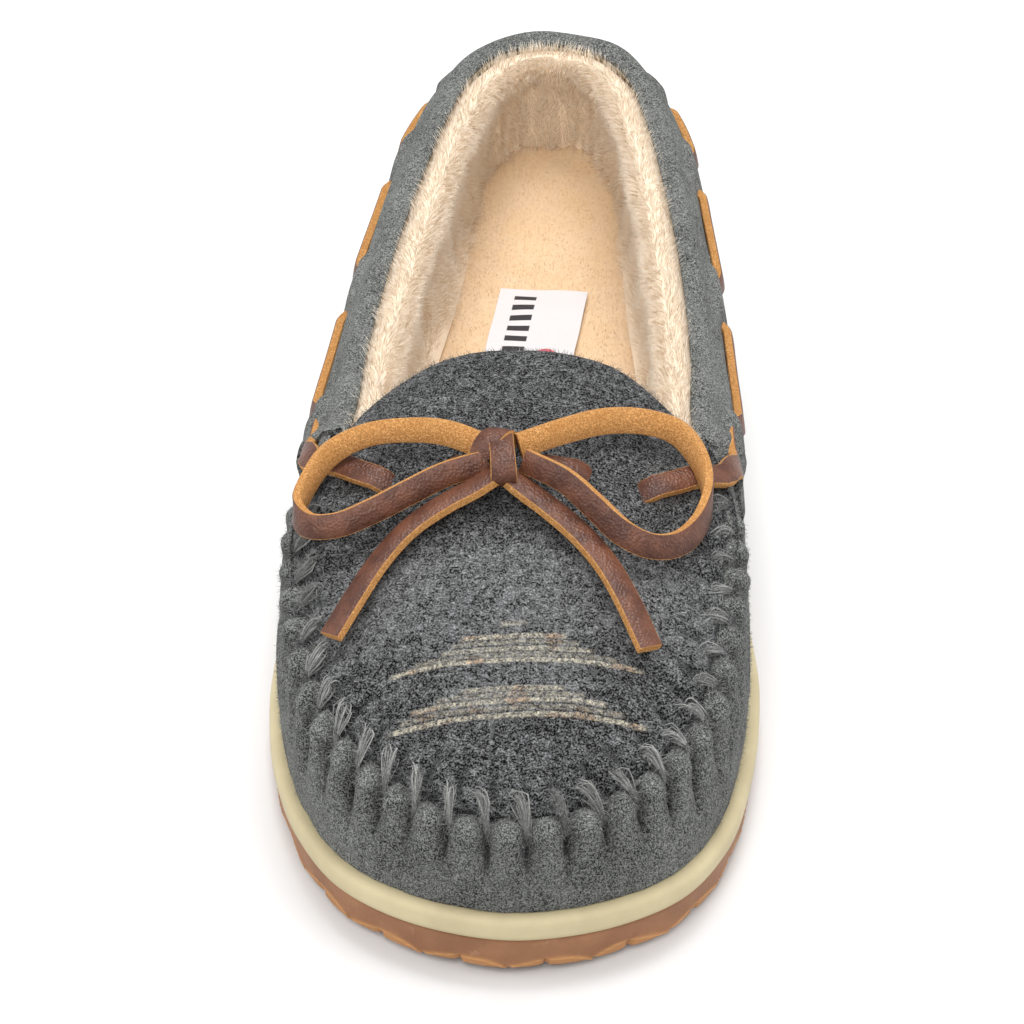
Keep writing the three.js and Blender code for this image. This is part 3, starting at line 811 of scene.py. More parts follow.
def grown(name, base, tree, values):
    """The evaluated result of a node tree on a base object, as a plain finished piece."""
    modifier = base.modifiers.new("grow", "NODES")
    modifier.node_group = tree
    keys = {
        item.name: item.identifier
        for item in tree.interface.items_tree
        if item.item_type == "SOCKET" and item.in_out == "INPUT"
    }
    for key, value in values.items():
        modifier[keys[key]] = value
    base.update_tag()
    graph = bpy.context.evaluated_depsgraph_get()
    mesh = bpy.data.meshes.new_from_object(base.evaluated_get(graph))
    base.modifiers.remove(modifier)
    mesh.name = name
    mesh.shade_smooth()
    return finished(name, mesh)


def grow_pile(name, base, slot, material, density, length, seed, **extra):
    """Strands over base: density per square millimetre, shortest and longest in millimetres."""
    values = {
        "Strand": STRAND,
        "Density": density / MM**2,
        "Seed": seed,
        "Shortest": length[0] * MM,
        "Longest": length[1] * MM,
        "Thickness": 0.052 * MM,
        "Clump Size": 1 / (8 * MM),
        "Clump Lean": 2.3,
        "Scatter": 0.18,
        "Lay": (0.0, 0.0, 0.35),
        "Material": material,
    }
    grown(name, base, PILE_TREE, {**values, **extra})


def loose_object(name, points, quads):
    """A shape used only for copying, in metres at its own origin."""
    mesh = bpy.data.meshes.new(name)
    mesh.from_pydata([tuple(p) for p in points], [], [tuple(q) for q in quads])
    mesh.update()
    return in_scene(name, mesh)


def strand_shape():
    """A three-sided strand drawn out to a point, one metre tall before it is scaled."""
    rings = []
    for height, radius, side in ((0, 1, 0), (0.55, 0.8, 0.3)):
        for k in range(3):
            a = 2 * math.pi * k / 3
            rings.append((radius * math.cos(a) + side * STRAND_CURL, radius * math.sin(a), height))
    rings.append((STRAND_CURL, 0, 1))
    sides = [(k, (k + 1) % 3, 3 + (k + 1) % 3, 3 + k) for k in range(3)]
    point = [(3 + k, 3 + (k + 1) % 3, 6) for k in range(3)]
    made = loose_object("strand", rings, [*sides, *point, (2, 1, 0)])
    put_attribute(made.data, "tip", [0, 0, 0, 0.55, 0.55, 0.55, 1])
    return made


# ---- camera, light, floor
# metres and degrees
AIM = np.array([0, -0.002, 0.030])
AZIMUTH = 2.72
ELEVATION = 37.0
DISTANCE = 0.6965
LENS = 115.4
OFF_CENTRE = (0.0034, 0.0133)
SKY = 0.45
FLOOR_REACH = 3.0
FLOOR_LEVEL = -0.15 * MM


def add_camera():
    a = math.radians(AZIMUTH)
    e = math.radians(ELEVATION)
    back = Vector((math.sin(a) * math.cos(e), -math.cos(a) * math.cos(e), math.sin(e)))
    place = Vector(AIM) + back * DISTANCE
    turned = back.to_track_quat("Z", "Y")
    right = turned @ Vector((1, 0, 0))
    up = turned @ Vector((0, 1, 0))
    target = Vector(AIM) - right * OFF_CENTRE[0] - up * OFF_CENTRE[1]
    data = bpy.data.cameras.new("camera")
    data.lens = LENS
    data.sensor_width = 36
    camera = in_scene("camera", data)
    camera.location = place
    camera.rotation_euler = (place - target).to_track_quat("Z", "Y").to_euler()
    bpy.context.scene.camera = camera


def add_light(name, place, power, size):
    data = bpy.data.lights.new(name, "AREA")
    data.energy = power
    data.size = size
    lamp = in_scene(name, data)
    lamp.location = place
    lamp.rotation_euler = Vector(place).to_track_quat("Z", "Y").to_euler()


def add_studio():
    scene = bpy.context.scene
    scene.view_settings.view_transform = "Standard"
    world = bpy.data.worlds.new("studio")
    world.use_nodes = True
    sky = world.node_tree.nodes["Background"].inputs
    sky[0].default_value = (1, 1, 1, 1)
    sky[1].default_value = SKY
    scene.world = world
    add_light("overhead", (0.05, 0.3, 1.15), 12, 0.6)
    add_light("front", (-0.1, -0.8, 0.95), 7.5, 0.6)
    for side in (-1, 1):
        add_light("side_%+d" % side, (side * 0.95, -0.1, 0.5), 3.6, 0.5)
    mesh = bpy.data.meshes.new("floor")
    signs = ((-1, -1), (1, -1), (1, 1), (-1, 1))
    corners = [(FLOOR_REACH * x, FLOOR_REACH * y, FLOOR_LEVEL) for x, y in signs]
    mesh.from_pydata(corners, [], [(0, 1, 2, 3)])
    mesh.materials.append(floor_paint())
    in_scene("floor", mesh)


add_camera()

# ---- the leather lace
# spans of stations from the heel where the lace runs behind the cuff
TUNNELS = [(-0.2, 0.95), (1.65, 2.2), (3.1, 3.6), (4.75, 5.3), (6.5, 8)]
TUNNEL_EDGE = 0.09


def lace_level(s):
    return lerp(0.42, 0.5, smooth(np.abs(s), 6.3, 7))


def hidden(s):
    """1 where the lace runs behind the cuff, 0 where it lies outside."""
    half = np.abs(s)
    e = TUNNEL_EDGE
    spans = [smooth(half, a - e, a + e) * (1 - smooth(half, b - e, b + e)) for a, b in TUNNELS]
    return np.max(spans, axis=0)


def lace_start(side):
    """From the knot into the plug, out again and over the seam: places and outward directions."""
    above = 0.2 + LACE_THICK / 2
    below = -(WOOL + 0.4 + LACE_THICK / 2)
    over_plug = np.array([
        [5.2, 8.1, above + 0.6],
        [8.5, 8.1, above],
        [12, 8.1, above - 0.4],
        [15.5, 8.12, below + 0.4],
        [19.5, 8.14, below],
        [22.5, 8.14, below + 0.8],
        [26, 8.08, above],
        [30, 7.96, above + 0.4],
        [34.5, 7.8, above + 1],
    ])
    over_seam = np.array([
        [7.58, 0.95, above + 1.2],
        [7.42, 0.78, above + 0.7],
        [7.28, 0.6, above + 0.5],
    ])
    u = 0.5 + side * over_plug[:, 0] / 80
    s = side * over_seam[:, 0]
    places = [plug(u, over_plug[:, 1], over_plug[:, 2]), wall(s, over_seam[:, 1], over_seam[:, 2])]
    facing = [plug_normal(u, over_plug[:, 1]), wall_normal(s, over_seam[:, 1])]
    return np.concatenate(places), np.concatenate(facing)


def strap_piece(name, centre, across, grain, replaces=None, cut_end=False):
    """Flat lace along centre: across points over its breadth, grain away from its glazed face."""
    run = unit(np.gradient(centre, axis=0))
    across = np.broadcast_to(np.array(across, float), centre.shape)
    across = unit(across - run * (across * run).sum(1, keepdims=True))
    face = np.cross(across, run)
    face *= np.sign((face * grain).sum(1, keepdims=True))
    sway = 0.12 * ripple(np.arange(len(centre)) * 0.11, np.zeros(len(centre)), len(name))
    w = LACE_WIDTH / 2 + sway[:, None]
    t = LACE_THICK / 2
    half = [(1, 0.1), (0.985, 0.72), (0.86, 1), (0, 1.08), (-0.86, 1), (-0.985, 0.72), (-1, 0.1)]
    shape = half + [(x, -y) for x, y in reversed(half)]
    sections = np.stack([centre + across * (x * w) + face * (y * t) for x, y in shape], 1)
    flesh = np.tile([1, 0.75, 0, 0, 0, 0.75, 1] + [1] * 7, (len(centre), 1)).astype(float)
    if cut_end:
        sections[-2] = lerp(sections[-1], sections[-2], 0.1)
        flesh[-1] = 1
    return mesh_piece(name, loft(sections), LACE, replaces, {"flesh": flesh})


def lace_round_collar():
    stations = np.linspace(THROAT - 0.02, -THROAT + 0.02, 250)
    behind = 0.3 + LACE_THICK / 2
    outside = CUFF_THICK + 0.75 + LACE_THICK / 2
    lift = lerp(outside, behind, hidden(stations))
    level = lace_level(stations)
    first, first_face = lace_start(1)
    last, last_face = lace_start(-1)
    places = np.concatenate([first, wall(stations, level, lift), last[::-1]])
    facing = np.concatenate([first_face, wall_normal(stations, level), last_face[::-1]])
    t = np.linspace(0, len(places) - 1, 620)
    centre, face = (
        through([np.broadcast_to(p, (len(t), 3)) for p in rows], t) for rows in (places, facing)
    )
    face = unit(face)
    across = np.cross(unit(np.gradient(centre, axis=0)), face)
    piece = strap_piece("lace_round_collar", centre, across, face, "lace_run")


LOOP_MEDIAL = [
    [-7.0, -47.2, 65.6], [-15.1, -44, 66.4], [-23.2, -41.4, 64.8], [-31.3, -41.2, 63.0],
    [-38, -44.4, 60.6], [-42.1, -52.6, 58.2], [-43, -58.4, 56.9], [-40.4, -62.4, 56.8],
    [-35.2, -62.8, 57.4], [-28.7, -60.4, 59.1], [-21.2, -56.8, 61.6], [-14.6, -53.6, 63.6],
    [-6.6, -51.2, 65.2],
]
LOOP_LATERAL = [
    [-0.8, -47.2, 66.2], [8.2, -42.6, 66.9], [15.9, -38.2, 66.2], [23.8, -35.7, 64.4],
    [29.8, -36.8, 63], [34.1, -42.4, 61.2], [36.2, -51.2, 58.9], [34.4, -59.3, 57.3],
    [30.3, -64.7, 57], [25.3, -66.9, 58.2], [20.1, -66.2, 60.6], [14.6, -61.8, 63.2],
    [8.8, -56.6, 65.2], [0.6, -51.6, 66],
]
TAIL_MEDIAL = [
    [-4.4, -53.6, 64.4], [-9.0, -57.0, 62.9], [-13.9, -59.4, 61.2], [-20.7, -64, 58.4],
    [-26, -70.3, 55.3], [-30.3, -77.2, 51.6], [-34.4, -84.1, 47.4],
]
TAIL_LATERAL = [
    [-2.6, -53.6, 63.8], [1.6, -57, 62.5], [5.8, -60, 61.2], [12.2, -65.4, 59],
    [17.4, -71.6, 56.6], [21.4, -78.2, 53.8], [25.9, -86.8, 49.4],
]
LEAN_BACK = (0, 0.55, 0.85)


def bow_loop(side, points):
    centre = line_through(points, 90)
    away = (centre - centre.mean(0)) * [1, 1, 0]
    piece = strap_piece("bow_loop_" + side, centre, LEAN_BACK, away, "lace_loop_" + side)


def bow_tail(side, points, across, grain):
    centre = line_through(points, 50)
    piece = strap_piece("bow_tail_" + side, centre, across, grain, "lace_tail_" + side, cut_end=True)


KNOT = np.array([-3.9, -50.2, 65.0])


def bow_knot():
    """The wrap over the middle of the bow, and the fold showing beside it."""
    turns = np.radians(np.linspace(-70, 215, 44))
    front = np.stack([0 * turns, -5.6 * np.cos(turns), 3.2 * np.sin(turns)], 1)
    wrap = KNOT + front + [[0.7 * math.cos(a), 0, 0] for a in turns]
    strap_piece("knot_wrap", wrap, (1.0, 0.12, 0.05), front, "lace_knot")
    turns = np.radians(np.linspace(20, 190, 30))
    arcs = np.stack([-1.2 - 2.2 * np.cos(turns), -3.4 * np.cos(turns) + 2.2, 3.3 * np.sin(turns)], 1)
    strap_piece("knot_fold", KNOT + arcs + [-0.6, 0.6, 0.1], (0.93, -0.3, 0.1), arcs)


# ---- sole
def evenly(count):
    """Stations spread evenly round the whole slipper."""
    return (np.arange(count) + 0.5) / count * TURN


def outline(inset, count=900):
    s = evenly(count)
    return SOLE(s) - outwards(SOLE, s) * inset


def rim_walk(count=900):
    """Distance walked along the sole's edge at each outline point, from the toe."""
    run = walked(outline(0, count))
    return run - run[count // 2]


def midsole_band():
    profile = [
        (9, 5.2), (3.2, 5.2), (1.9, 5.15), (1.1, 4.95), (0.5, 4.5), (0.15, 3.8), (0, 2.9),
        (0, 1.4), (0.12, 0.7), (0.35, 0.25), (0.8, 0.02), (9, 0),
    ]
    walk = rim_walk()
    out = outwards(SOLE, evenly(len(walk)))
    rows = []
    low = []
    for inset, height in profile:
        sway = 0.09 * ripple(walk * 0.12, np.full(len(walk), height))
        loop = outline(inset) + out * sway[:, None]
        loop[:, 2] = sole_top(loop[:, 1]) - MIDSOLE + height
        rows.append(loop)
        # darker towards the bottom of the band, over its lowest 1.6 millimetres
        low.append(np.full(len(walk), 1 - smooth(height, 0.1, 1.6)))
    skin = loft(np.stack(rows))
    mesh_piece("midsole_band", skin, cream_rubber(), "midsole", {"low": low})


LEAF_PITCH = 17.0
HOLLOW = 1.2  # how far the lugs stand below the tread


def leaf_edge(walk):
    """Height of the smooth strip's scalloped lower edge, and how far along its leaf each place is."""
    leaf = walk / LEAF_PITCH
    k = np.floor(leaf)
    t = leaf - k
    rise = np.sin(np.pi * t ** lerp(0.7, 1.4, chance(k, 5))) ** 0.8
    return lerp(0.4, 2.3, rise) * lerp(0.8, 1.1, chance(k, 6)), t


def outsole_body():
    count = 1300
    body = OUTSOLE - GAP
    heights = (5.7, 5.55, 5.2, 4.7, 4.1, 3.7, 3.3, 2.9, 2.5, 2.1, 1.7, 1.3, 0.9, 0.5, 0.15, 0)
    walk = rim_walk(count)
    strip, t = leaf_edge(walk)
    lug_t = leaf_edge(walk + 0.42 * LEAF_PITCH)[1]
    out = outwards(SOLE, evenly(count))
    base = outline(0.8, count)
    lift = TREAD_SPRING * toe_lift(base[:, 1])
    tall = body + TOE_SPRING * toe_lift(base[:, 1]) - lift
    notch = hump((lug_t - 0.5) * LEAF_PITCH, 7.6, 0.5) + hump((t - 0.5) * LEAF_PITCH, 7.8, 0.4)
    rows = []
    lit_edges = []
    flat_rings = [(4.2, 0.0), (4.8, HOLLOW), (9.0, HOLLOW)]
    for inset, height in [(9.0, body), *((None, h) for h in heights), *flat_rings]:
        if inset is None:
            above = smooth(height - strip, -0.22, 0.22)
            tuck = 0.55 * (1 - above)
            lobe = 0.5 * (1 - above) * np.sin(np.pi * lug_t) ** 0.5
            rim = hump(height, strip, 0.28)
            low_round = 0.9 * (1 - smooth(height, 0, 0.8)) ** 2
            top_round = 0.35 * smooth(height, 5.4, 5.7)
            depth = tuck - lobe + low_round + top_round + 0.8 * notch * (1 - above) - 0.25 * rim
            loop = base - out * depth[:, None]
            # painted light: lighter along the strip's lower edge and over the lugs, for light through
            # thin rubber
            edge = rim * 0.8 + (1 - above) * 0.5
        else:
            loop = outline(inset, count)
            edge = np.zeros(count)
        rise = 0.35 * (1 - np.sin(np.pi * lug_t) ** 0.4) * (1 - smooth(height, 0, 1.5))
        loop[:, 2] = lift + height / body * tall + rise
        rows.append(loop)
        lit_edges.append(edge)
    mesh_piece("outsole_body", loft(np.stack(rows)), GUM, "outsole", {"edge": lit_edges})


def tread_shape():
    """One rounded leaf lug, a metre long before it is scaled."""
    rows = []
    for height, size in ((0, 1), (0.7, 0.94), (1, 0.8)):
        a = np.linspace(0, 2 * np.pi, 16, endpoint=False)
        x = np.cos(a) * 0.5 * size
        y = np.sin(a) * 0.24 * size * (1 + 0.35 * np.cos(a)) + 0.1 * (x * x - 0.25)
        rows.append(np.stack([x, y, np.full(16, -height)], 1))
    return loose_object("leaf_lug", *loft(np.stack(rows)))


def set_in_rows(name, rows, shape, places, turns, size, material):
    """A piece made of copies of one shape; size is in millimetres."""
    mesh = bpy.data.meshes.new(name + "_places")
    mesh.from_pydata([tuple(p) for p in placed(places)], [], [])
    put_attribute(mesh, "turn", turns)
    put_attribute(mesh, "size", np.tile(np.array(size) * MM, (len(places), 1)))
    base = in_scene(mesh.name, mesh)
    grown(name, base, rows, {"Shape": shape, "Material": material})
    for spent in (base, shape):
        bpy.data.objects.remove(spent)


def tread_lugs(rows):
    """Leaf lugs in herringbone rows under the sole."""
    places = []
    turns = []
    for row, y in enumerate(np.arange(-116, 122, 8.0)):
        for column, x in enumerate(np.arange(-44, 45, 11.0)):
            side = -1 if (row + column) % 2 else 1
            places.append([x + 5.5 * (row % 2), y, 0])
            turns.append([0, 0, side * 0.65])
    places = np.array(places)
    edge = outline(5.5, 400)
    inner = edge[plan_gaps(places, edge).argmin(1)]
    middle = np.array([bend(places[:, 1]), np.clip(places[:, 1], -80, 90)]).T
    inside = ((inner[:, :2] - middle) ** 2).sum(1) > ((places[:, :2] - middle) ** 2).sum(1)
    places = places[inside]
    turns = np.array(turns)[inside]
    tall = HOLLOW + 0.2
    places[:, 2] = TREAD_SPRING * toe_lift(places[:, 1]) + tall
    size = (9.4, 11.5, tall)
    set_in_rows("tread_lugs", rows, tread_shape(), places, turns, size, GUM)


# ---- upper
def vamp():
    s = np.linspace(THROAT + 0.04, TURN - THROAT - 0.04, 860)
    v = np.concatenate([np.linspace(0, 0.45, 16), np.linspace(0.47, 1, 34)])

    def outer(S, V):
        return wall(S, V, pucker(S, V))

    def inner(S, V):
        return wall(S, V, -SUEDE + 0.6 * np.minimum(pucker(S, V), 0.2))

    S, V = grid(s, v)
    # painted shade: darkest in the creases between the puckers, towards the rim; the inner face gets
    # none
    pit = (1 - arch(rim_phase(S))) ** 0.85 * smooth(V, 0.28, 0.55) * past_throat(S)
    # painted shade: the lower front of the toe is darkened as well
    pit += 0.18 * (1 - smooth(np.abs(TOE - S), 1.0, 2.4)) * (1 - smooth(V, 0.3, 0.55))
    attributes = {
        "pit": two_faces(pit, 0 * pit),
        "cover": two_faces(0.3 + 0.7 * smooth(V, 0.5, 0.75), 0 * V),
    }
    skin = shell(s, v, outer, inner)
    return mesh_piece("vamp_suede", skin, DARK_SUEDE, "vamp", attributes, 80)


def quarter(side, name):
    s = np.linspace(0.02, THROAT + 0.02, 300) * side
    v = np.linspace(0, 0.43, 24)

    def outer(S, V):
        return wall(S, V, 0.25 * ripple(S * 2.2, V * 16, 2) * smooth(V, 0, 0.1))

    skin = shell(s, v, outer, lambda S, V: wall(S, V, -SUEDE))
    mesh_piece("quarter_suede_" + name, skin, LIGHT_SUEDE, "quarter_" + name, {"pit": 0})


def cuff_lift(s, v):
    """Outer face of the cuff: proud of the sides, flush at the rim, bulged over the lace."""
    flush = 1 - smooth(v, 0.46, 0.66)
    level = lace_level(s)
    over = smooth(v, level - 0.11, level - 0.06) * (1 - smooth(v, level + 0.07, level + 0.14))
    return (CUFF_THICK + 0.55) * flush + 1.2 * hidden(s) * over


def cuff_relief(s, v):
    """Soft puckers beside each lace slit and a little unevenness all over."""
    slits = sum(hump(np.abs(s), e, 0.1) for pair in TUNNELS for e in pair if 0 < e < 7)
    pinch = -0.35 * slits * hump(v, lace_level(s), 0.16)
    gather = 0.5 * np.sin(s * 21) * smooth(np.abs(s), 6.2, 6.9) * np.sin(np.pi * np.clip(v, 0, 1))
    return pinch + gather + 0.28 * ripple(s * 2.6, v * 7, 3)


def collar_cuff():
    s = np.linspace(-THROAT, THROAT, 600)
    v = np.concatenate([[CUFF_LOW], np.linspace(CUFF_LOW + 0.012, 0.985, 38), [1]])

    def face(depth):
        def at(S, V):
            edge = 1 - smooth(V, CUFF_LOW, CUFF_LOW + 0.012) * (1 - smooth(V, 0.985, 1))
            lift = cuff_lift(S, V) + cuff_relief(S, V) - depth
            return wall(S, V, lift - (CUFF_THICK / 2 - depth) * edge * 0.7)
        return at

    # a darker line along the cuff's stitching, and painted shade over the cuff's inner face, which lies
    # against the quarter and the lining
    seam = hump(grid(s, v)[1] - CUFF_LOW, 0.03, 0.012) * 0.5
    attributes = {"pit": two_faces(seam, np.full_like(seam, 0.4))}
    skin = shell(s, v, face(0), face(CUFF_THICK))
    name = "collar_cuff_suede"
    piece = mesh_piece(name, skin, LIGHT_SUEDE, "collar_cuff", attributes, 80)


def back_stay():
    s = np.linspace(-0.55, 0.55, 60)
    v = np.concatenate([[0.02], np.linspace(0.028, CUFF_LOW - 0.028, 20), [CUFF_LOW - 0.02]])

    def face(depth):
        def at(S, V):
            edge = smooth(np.abs(S), 0.5, 0.55) + smooth(np.abs(V - 0.15), 0.122, 0.13)
            stitch = hump(np.abs(S), 0.44, 0.03) * 0.35
            lift = GAP + STAY - depth - (STAY / 2 - depth) * 0.7 * np.minimum(edge, 1)
            return wall(S, V, lift - (stitch if depth == 0 else 0))
        return at

    skin = shell(s, v, face(0), face(STAY))
    mesh_piece("back_stay_suede", skin, DARK_SUEDE, "back_stay", {"pit": 0})


# ---- wool plug
def rim_neighbours(points):
    """Distance in plan from each point to the rim and the pucker count there."""
    table = rim_phase(RIM_S)
    distance = []
    phase = []
    for i in range(0, len(points), 4000):
        gap = plan_gaps(points[i : i + 4000], RIM_PLACES)
        distance.append(gap.min(1))
        phase.append(table[gap.argmin(1)])
    return np.concatenate(distance), np.concatenate(phase)


def wool_plug():
    s = np.concatenate([[7.0, 7.01, 7.03, 7.06, 7.1], np.linspace(7.14, 12.97, 235)])
    S, U = grid(s, np.linspace(-0.022, 1.022, 168))
    flat = plug(U, S)
    gap, phase = (q.reshape(S.shape) for q in rim_neighbours(flat.reshape(-1, 3)))
    along = past_throat(S)
    gathered = smooth(gap, 0.2, 1.6) * (1 - smooth(gap, 3.5, 8.5)) * along
    lumps = (3.0 * (arch(phase) - 0.55) + 0.5 * (chance(np.floor(phase), 8) - 0.5)) * gathered
    sink = -0.1 * (1 - smooth(gap, 0, 2.5)) * along
    soft = 0.22 * ripple(flat[..., 0] * 0.16, flat[..., 1] * 0.16, 4)
    hem = smooth(S, 7.0, 7.12)
    round_edge = WOOL / 2 * (1 - np.sqrt(np.clip(1 - (1 - hem) ** 2, 0, 1)))
    top = plug(U, S, lumps + sink + soft - round_edge)
    under = plug(U, S, -WOOL + sink + 0.4 * lumps + round_edge)
    weft = flat[..., 1] - (0.07 * flat[..., 0] - 0.0008 * flat[..., 0] ** 2)
    cloth = np.stack([flat[..., 0], weft, gap], -1)
    attributes = {"cloth": two_faces(cloth, cloth), "cover": two_faces(np.ones_like(S), 0 * S)}
    skin = loft(two_faces(top, under))
    return mesh_piece("wool_plug", skin, WOOL_CLOTH, "plug", attributes, 80)


# ---- whipped seam
def tube(path, radius, sides):
    """Section loops of a round strand tapering at its ends."""
    run = unit(np.gradient(path, axis=0))
    side = unit(np.cross(run, [0.13, 0.22, 0.97]))[:, None]
    up = np.cross(side[:, 0], run)[:, None]
    r = radius * (0.25 + 0.75 * np.sin(np.pi * np.linspace(0, 1, len(path))) ** 0.3)
    a = np.linspace(0, 2 * np.pi, sides, endpoint=False)[None, :, None]
    return path[:, None] + (side * np.cos(a) + up * np.sin(a)) * r[:, None, None]


def whip_stitch(k, rng):
    """A bundle of wool strands from the plug over its edge, down into crease k."""
    slant = rng.uniform(0.3, 0.65)
    strands = []
    for _ in range(24):
        spread = rng.normal(0, 1.0)
        lift = rng.uniform(-0.3, 0.7)
        far = rng.uniform(1.0, 3.8)
        stray = rng.normal(0, 0.6, (2, 3)) * [1, 1, 0.4]
        head = rim_station(k + slant + spread * 0.07)
        knee = rim_station(k + slant * 0.4 + spread * 0.06)
        foot = rim_station(k + spread * 0.04)
        inside = RIM(head) - outwards(RIM, head) * far
        over = RIM(knee) - outwards(RIM, knee) * 1.4
        low = plug_height(inside)
        begin = np.array([*inside[:2], low - 0.6])
        rise = np.array([*lerp(inside, over, 0.35)[:2], low + 0.6 + 0.7 * lift]) + stray[0]
        top = np.array([*over[:2], max(over[2], low) + 0.9 + lift]) + stray[1]
        drop = wall(foot, 0.86, 0.2 + 0.7 * lift)
        end = wall(foot, rng.uniform(0.68, 0.78), -2.4)
        path = line_through([begin, rise, top, drop, end], 11)
        strands.append((path, rng.uniform(0.06, 0.18)))
    return strands


def plug_height(place):
    i = np.argmin(((PLUG_TABLE[:, :2] - place[:2]) ** 2).sum(1))
    return PLUG_TABLE[i, 2]


def seam_stitches():
    rng = np.random.default_rng(SEED)
    first = math.ceil(rim_phase(THROAT + 0.55))
    last = math.floor(rim_phase(TURN - THROAT - 0.55))
    points = []
    quads = []
    tones = []
    count = 0
    for k in range(first, last + 1):
        bundle = rng.random()
        for path, radius in whip_stitch(k, rng):
            p, q = loft(tube(path, radius, 6))
            points.append(p)
            quads.append(q + count)
            tones.append(np.full(len(p), 0.5 * bundle + 0.5 * rng.random()))
            count += len(p)
    skin = np.concatenate(points), np.concatenate(quads)
    attributes = {"tone": np.concatenate(tones), "cover": 1}
    wool = strand_wool("seam_wool", (26, 27, 28), (166, 167, 164))
    return mesh_piece("seam_stitches", skin, wool, "seam_thread", attributes, 80)


# ---- lining
def lining_face(s, v, depth):
    """Inside face of the wall, leaning from under the padding to the rim."""
    top = 0.5
    p = wall(s, np.minimum(v, top), -depth)
    inside = depth > PILE - 1
    under = RIM(s) + outwards(RIM, s) * np.where(inside, -4.4, -0.9)[..., None]
    under[..., 2] -= np.where(inside, 0.8, 1.6)
    reach = np.clip((v - top) / (1 - top), 0, 1)[..., None]
    plump = np.where(inside, 1.6, 0)[..., None] * np.sin(np.pi * reach) ** 0.8
    return lerp(p, under, reach) - outwards(RIM, s) * plump


def fleece_piece(name, skin, replaces, material, tip=0.3, crease=80, **attributes):
    """The backing that strands of pile grow from, where its cover is above 0."""
    attributes.update({"tip": tip, "tone": 0.5})
    return mesh_piece(name, skin, material, replaces, attributes, crease)


def quarter_lining():
    s = np.linspace(-THROAT - 0.35, THROAT + 0.35, 420)
    v = np.linspace(0.1, 0.99, 34)

    def outer(S, V):
        return lining_face(S, V, np.full(S.shape, 3.4))

    def inner(S, V):
        tufts = 0.9 * ripple(S * 4.2, V * 9, 5) + 0.5 * ripple(S * 9, V * 19, 6)
        fullness = lerp(15.5, 9.8, smooth(V, 0.1, 0.52))
        return lining_face(S, V, fullness + tufts * smooth(V, 0.1, 0.3))

    V = grid(s, v)[1]
    cover = two_faces(0.35 * smooth(V, 0.95, 0.98), smooth(V, 0.14, 0.18))
    skin = shell(s, v, outer, inner)
    return fleece_piece("lining_fleece", skin, "quarter_lining", FLEECE, cover=cover)


def vamp_lining():
    skin = shell(
        np.linspace(THROAT + 0.1, TURN - THROAT - 0.1, 200),
        np.linspace(0.1, 0.6, 12),
        lambda S, V: wall(S, V, -SUEDE - 1.6),
        lambda S, V: wall(S, V, -PILE - 1.4 + 0.5 * ripple(S * 4, V * 12, 7)),
    )
    fleece_piece("toe_fleece", skin, "vamp_lining", FLEECE, crease=40)


def plug_lining():
    S, U = grid(np.linspace(7.06, 11.4, 90), np.linspace(0.08, 0.92, 60))
    top = plug(U, S, -WOOL - 0.3)
    under = plug(U, S, -WOOL - 3.4 + 0.5 * ripple(S * 5, U * 30, 8))
    cover = two_faces(0 * S, 1 - smooth(S, 8.5, 9))
    return fleece_piece("plug_fleece", loft(two_faces(top, under)), "plug_lining", FLEECE, cover=cover)


def label_x(y):
    """The label's middle, a little askew."""
    return -1.6 + 0.09 * (y - 58)


def foot_height(y, stack):
    return sole_top(y) + GAP + stack


def footbed_pile():
    insets = [9, *(PILE + d for d in (2.4, 4, 6, 9, 13, 18, 24)), np.inf]
    rows = []
    cover = []
    base = wall(evenly(300), 0.19, 0)
    middle = np.stack([bend(base[:, 1]), base[:, 1], base[:, 2]], 1)
    reach = np.abs(base[:, 0] - middle[:, 0])
    for k, inset in enumerate(insets):
        lift = -5 if k == 0 else 0
        share = np.clip(1 - inset / np.maximum(reach, 1), 0.02 if np.isfinite(inset) else 0.01, 1)
        loop = lerp(middle, base, share[:, None])
        aside = loop[:, 0] - middle[:, 0]
        loop[:, 1] = np.clip(loop[:, 1], -100, 115 - 0.016 * aside**2)
        x, y = loop[:, 0], loop[:, 1]
        waves = 0.5 * ripple(x * 0.35, y * 0.35, 9)
        loop[:, 2] = foot_height(y, FOOTBED - 0.8) + 1.6 * hump(inset, 8, 4.0) + waves + lift
        loop[:, 2] += 13 * smooth(y, 78, 118)
        rows.append(loop)
        beyond = np.abs(y - LABEL_MIDDLE) - (LABEL_MIDDLE - LABEL_LOW)
        margin = np.maximum(np.abs(x - label_x(y)) - LABEL_HALF, beyond)
        cover.append(smooth(y, -30, -10) * (lift == 0) * smooth(margin, -1.5, 0.5))
    skin = loft(np.stack(rows))
    piece = fleece_piece("footbed_fleece", skin, "footbed_pile", FOOT_FLEECE, 0.35, cover=cover)
    return piece


def sock_label():
    Y, X = grid(np.linspace(LABEL_LOW, LABEL_HIGH, 34), np.linspace(-1, 1, 20))
    x = X * LABEL_HALF + label_x(Y)
    z = foot_height(Y, FOOTBED + 0.9) + 0.3 * ripple(x * 0.2, Y * 0.2, 10)
    top = np.stack([x, Y, z + 0.3], -1)
    under = np.stack([x, Y, z - 0.3], -1)
    face = np.stack([X * LABEL_HALF, Y - LABEL_LOW, 0 * X], -1)
    skin = loft(two_faces(top, under))
    attributes = {"cloth": two_faces(face, face)}
    piece = mesh_piece("woven_label", skin, label_cloth(), "sock_label", attributes)


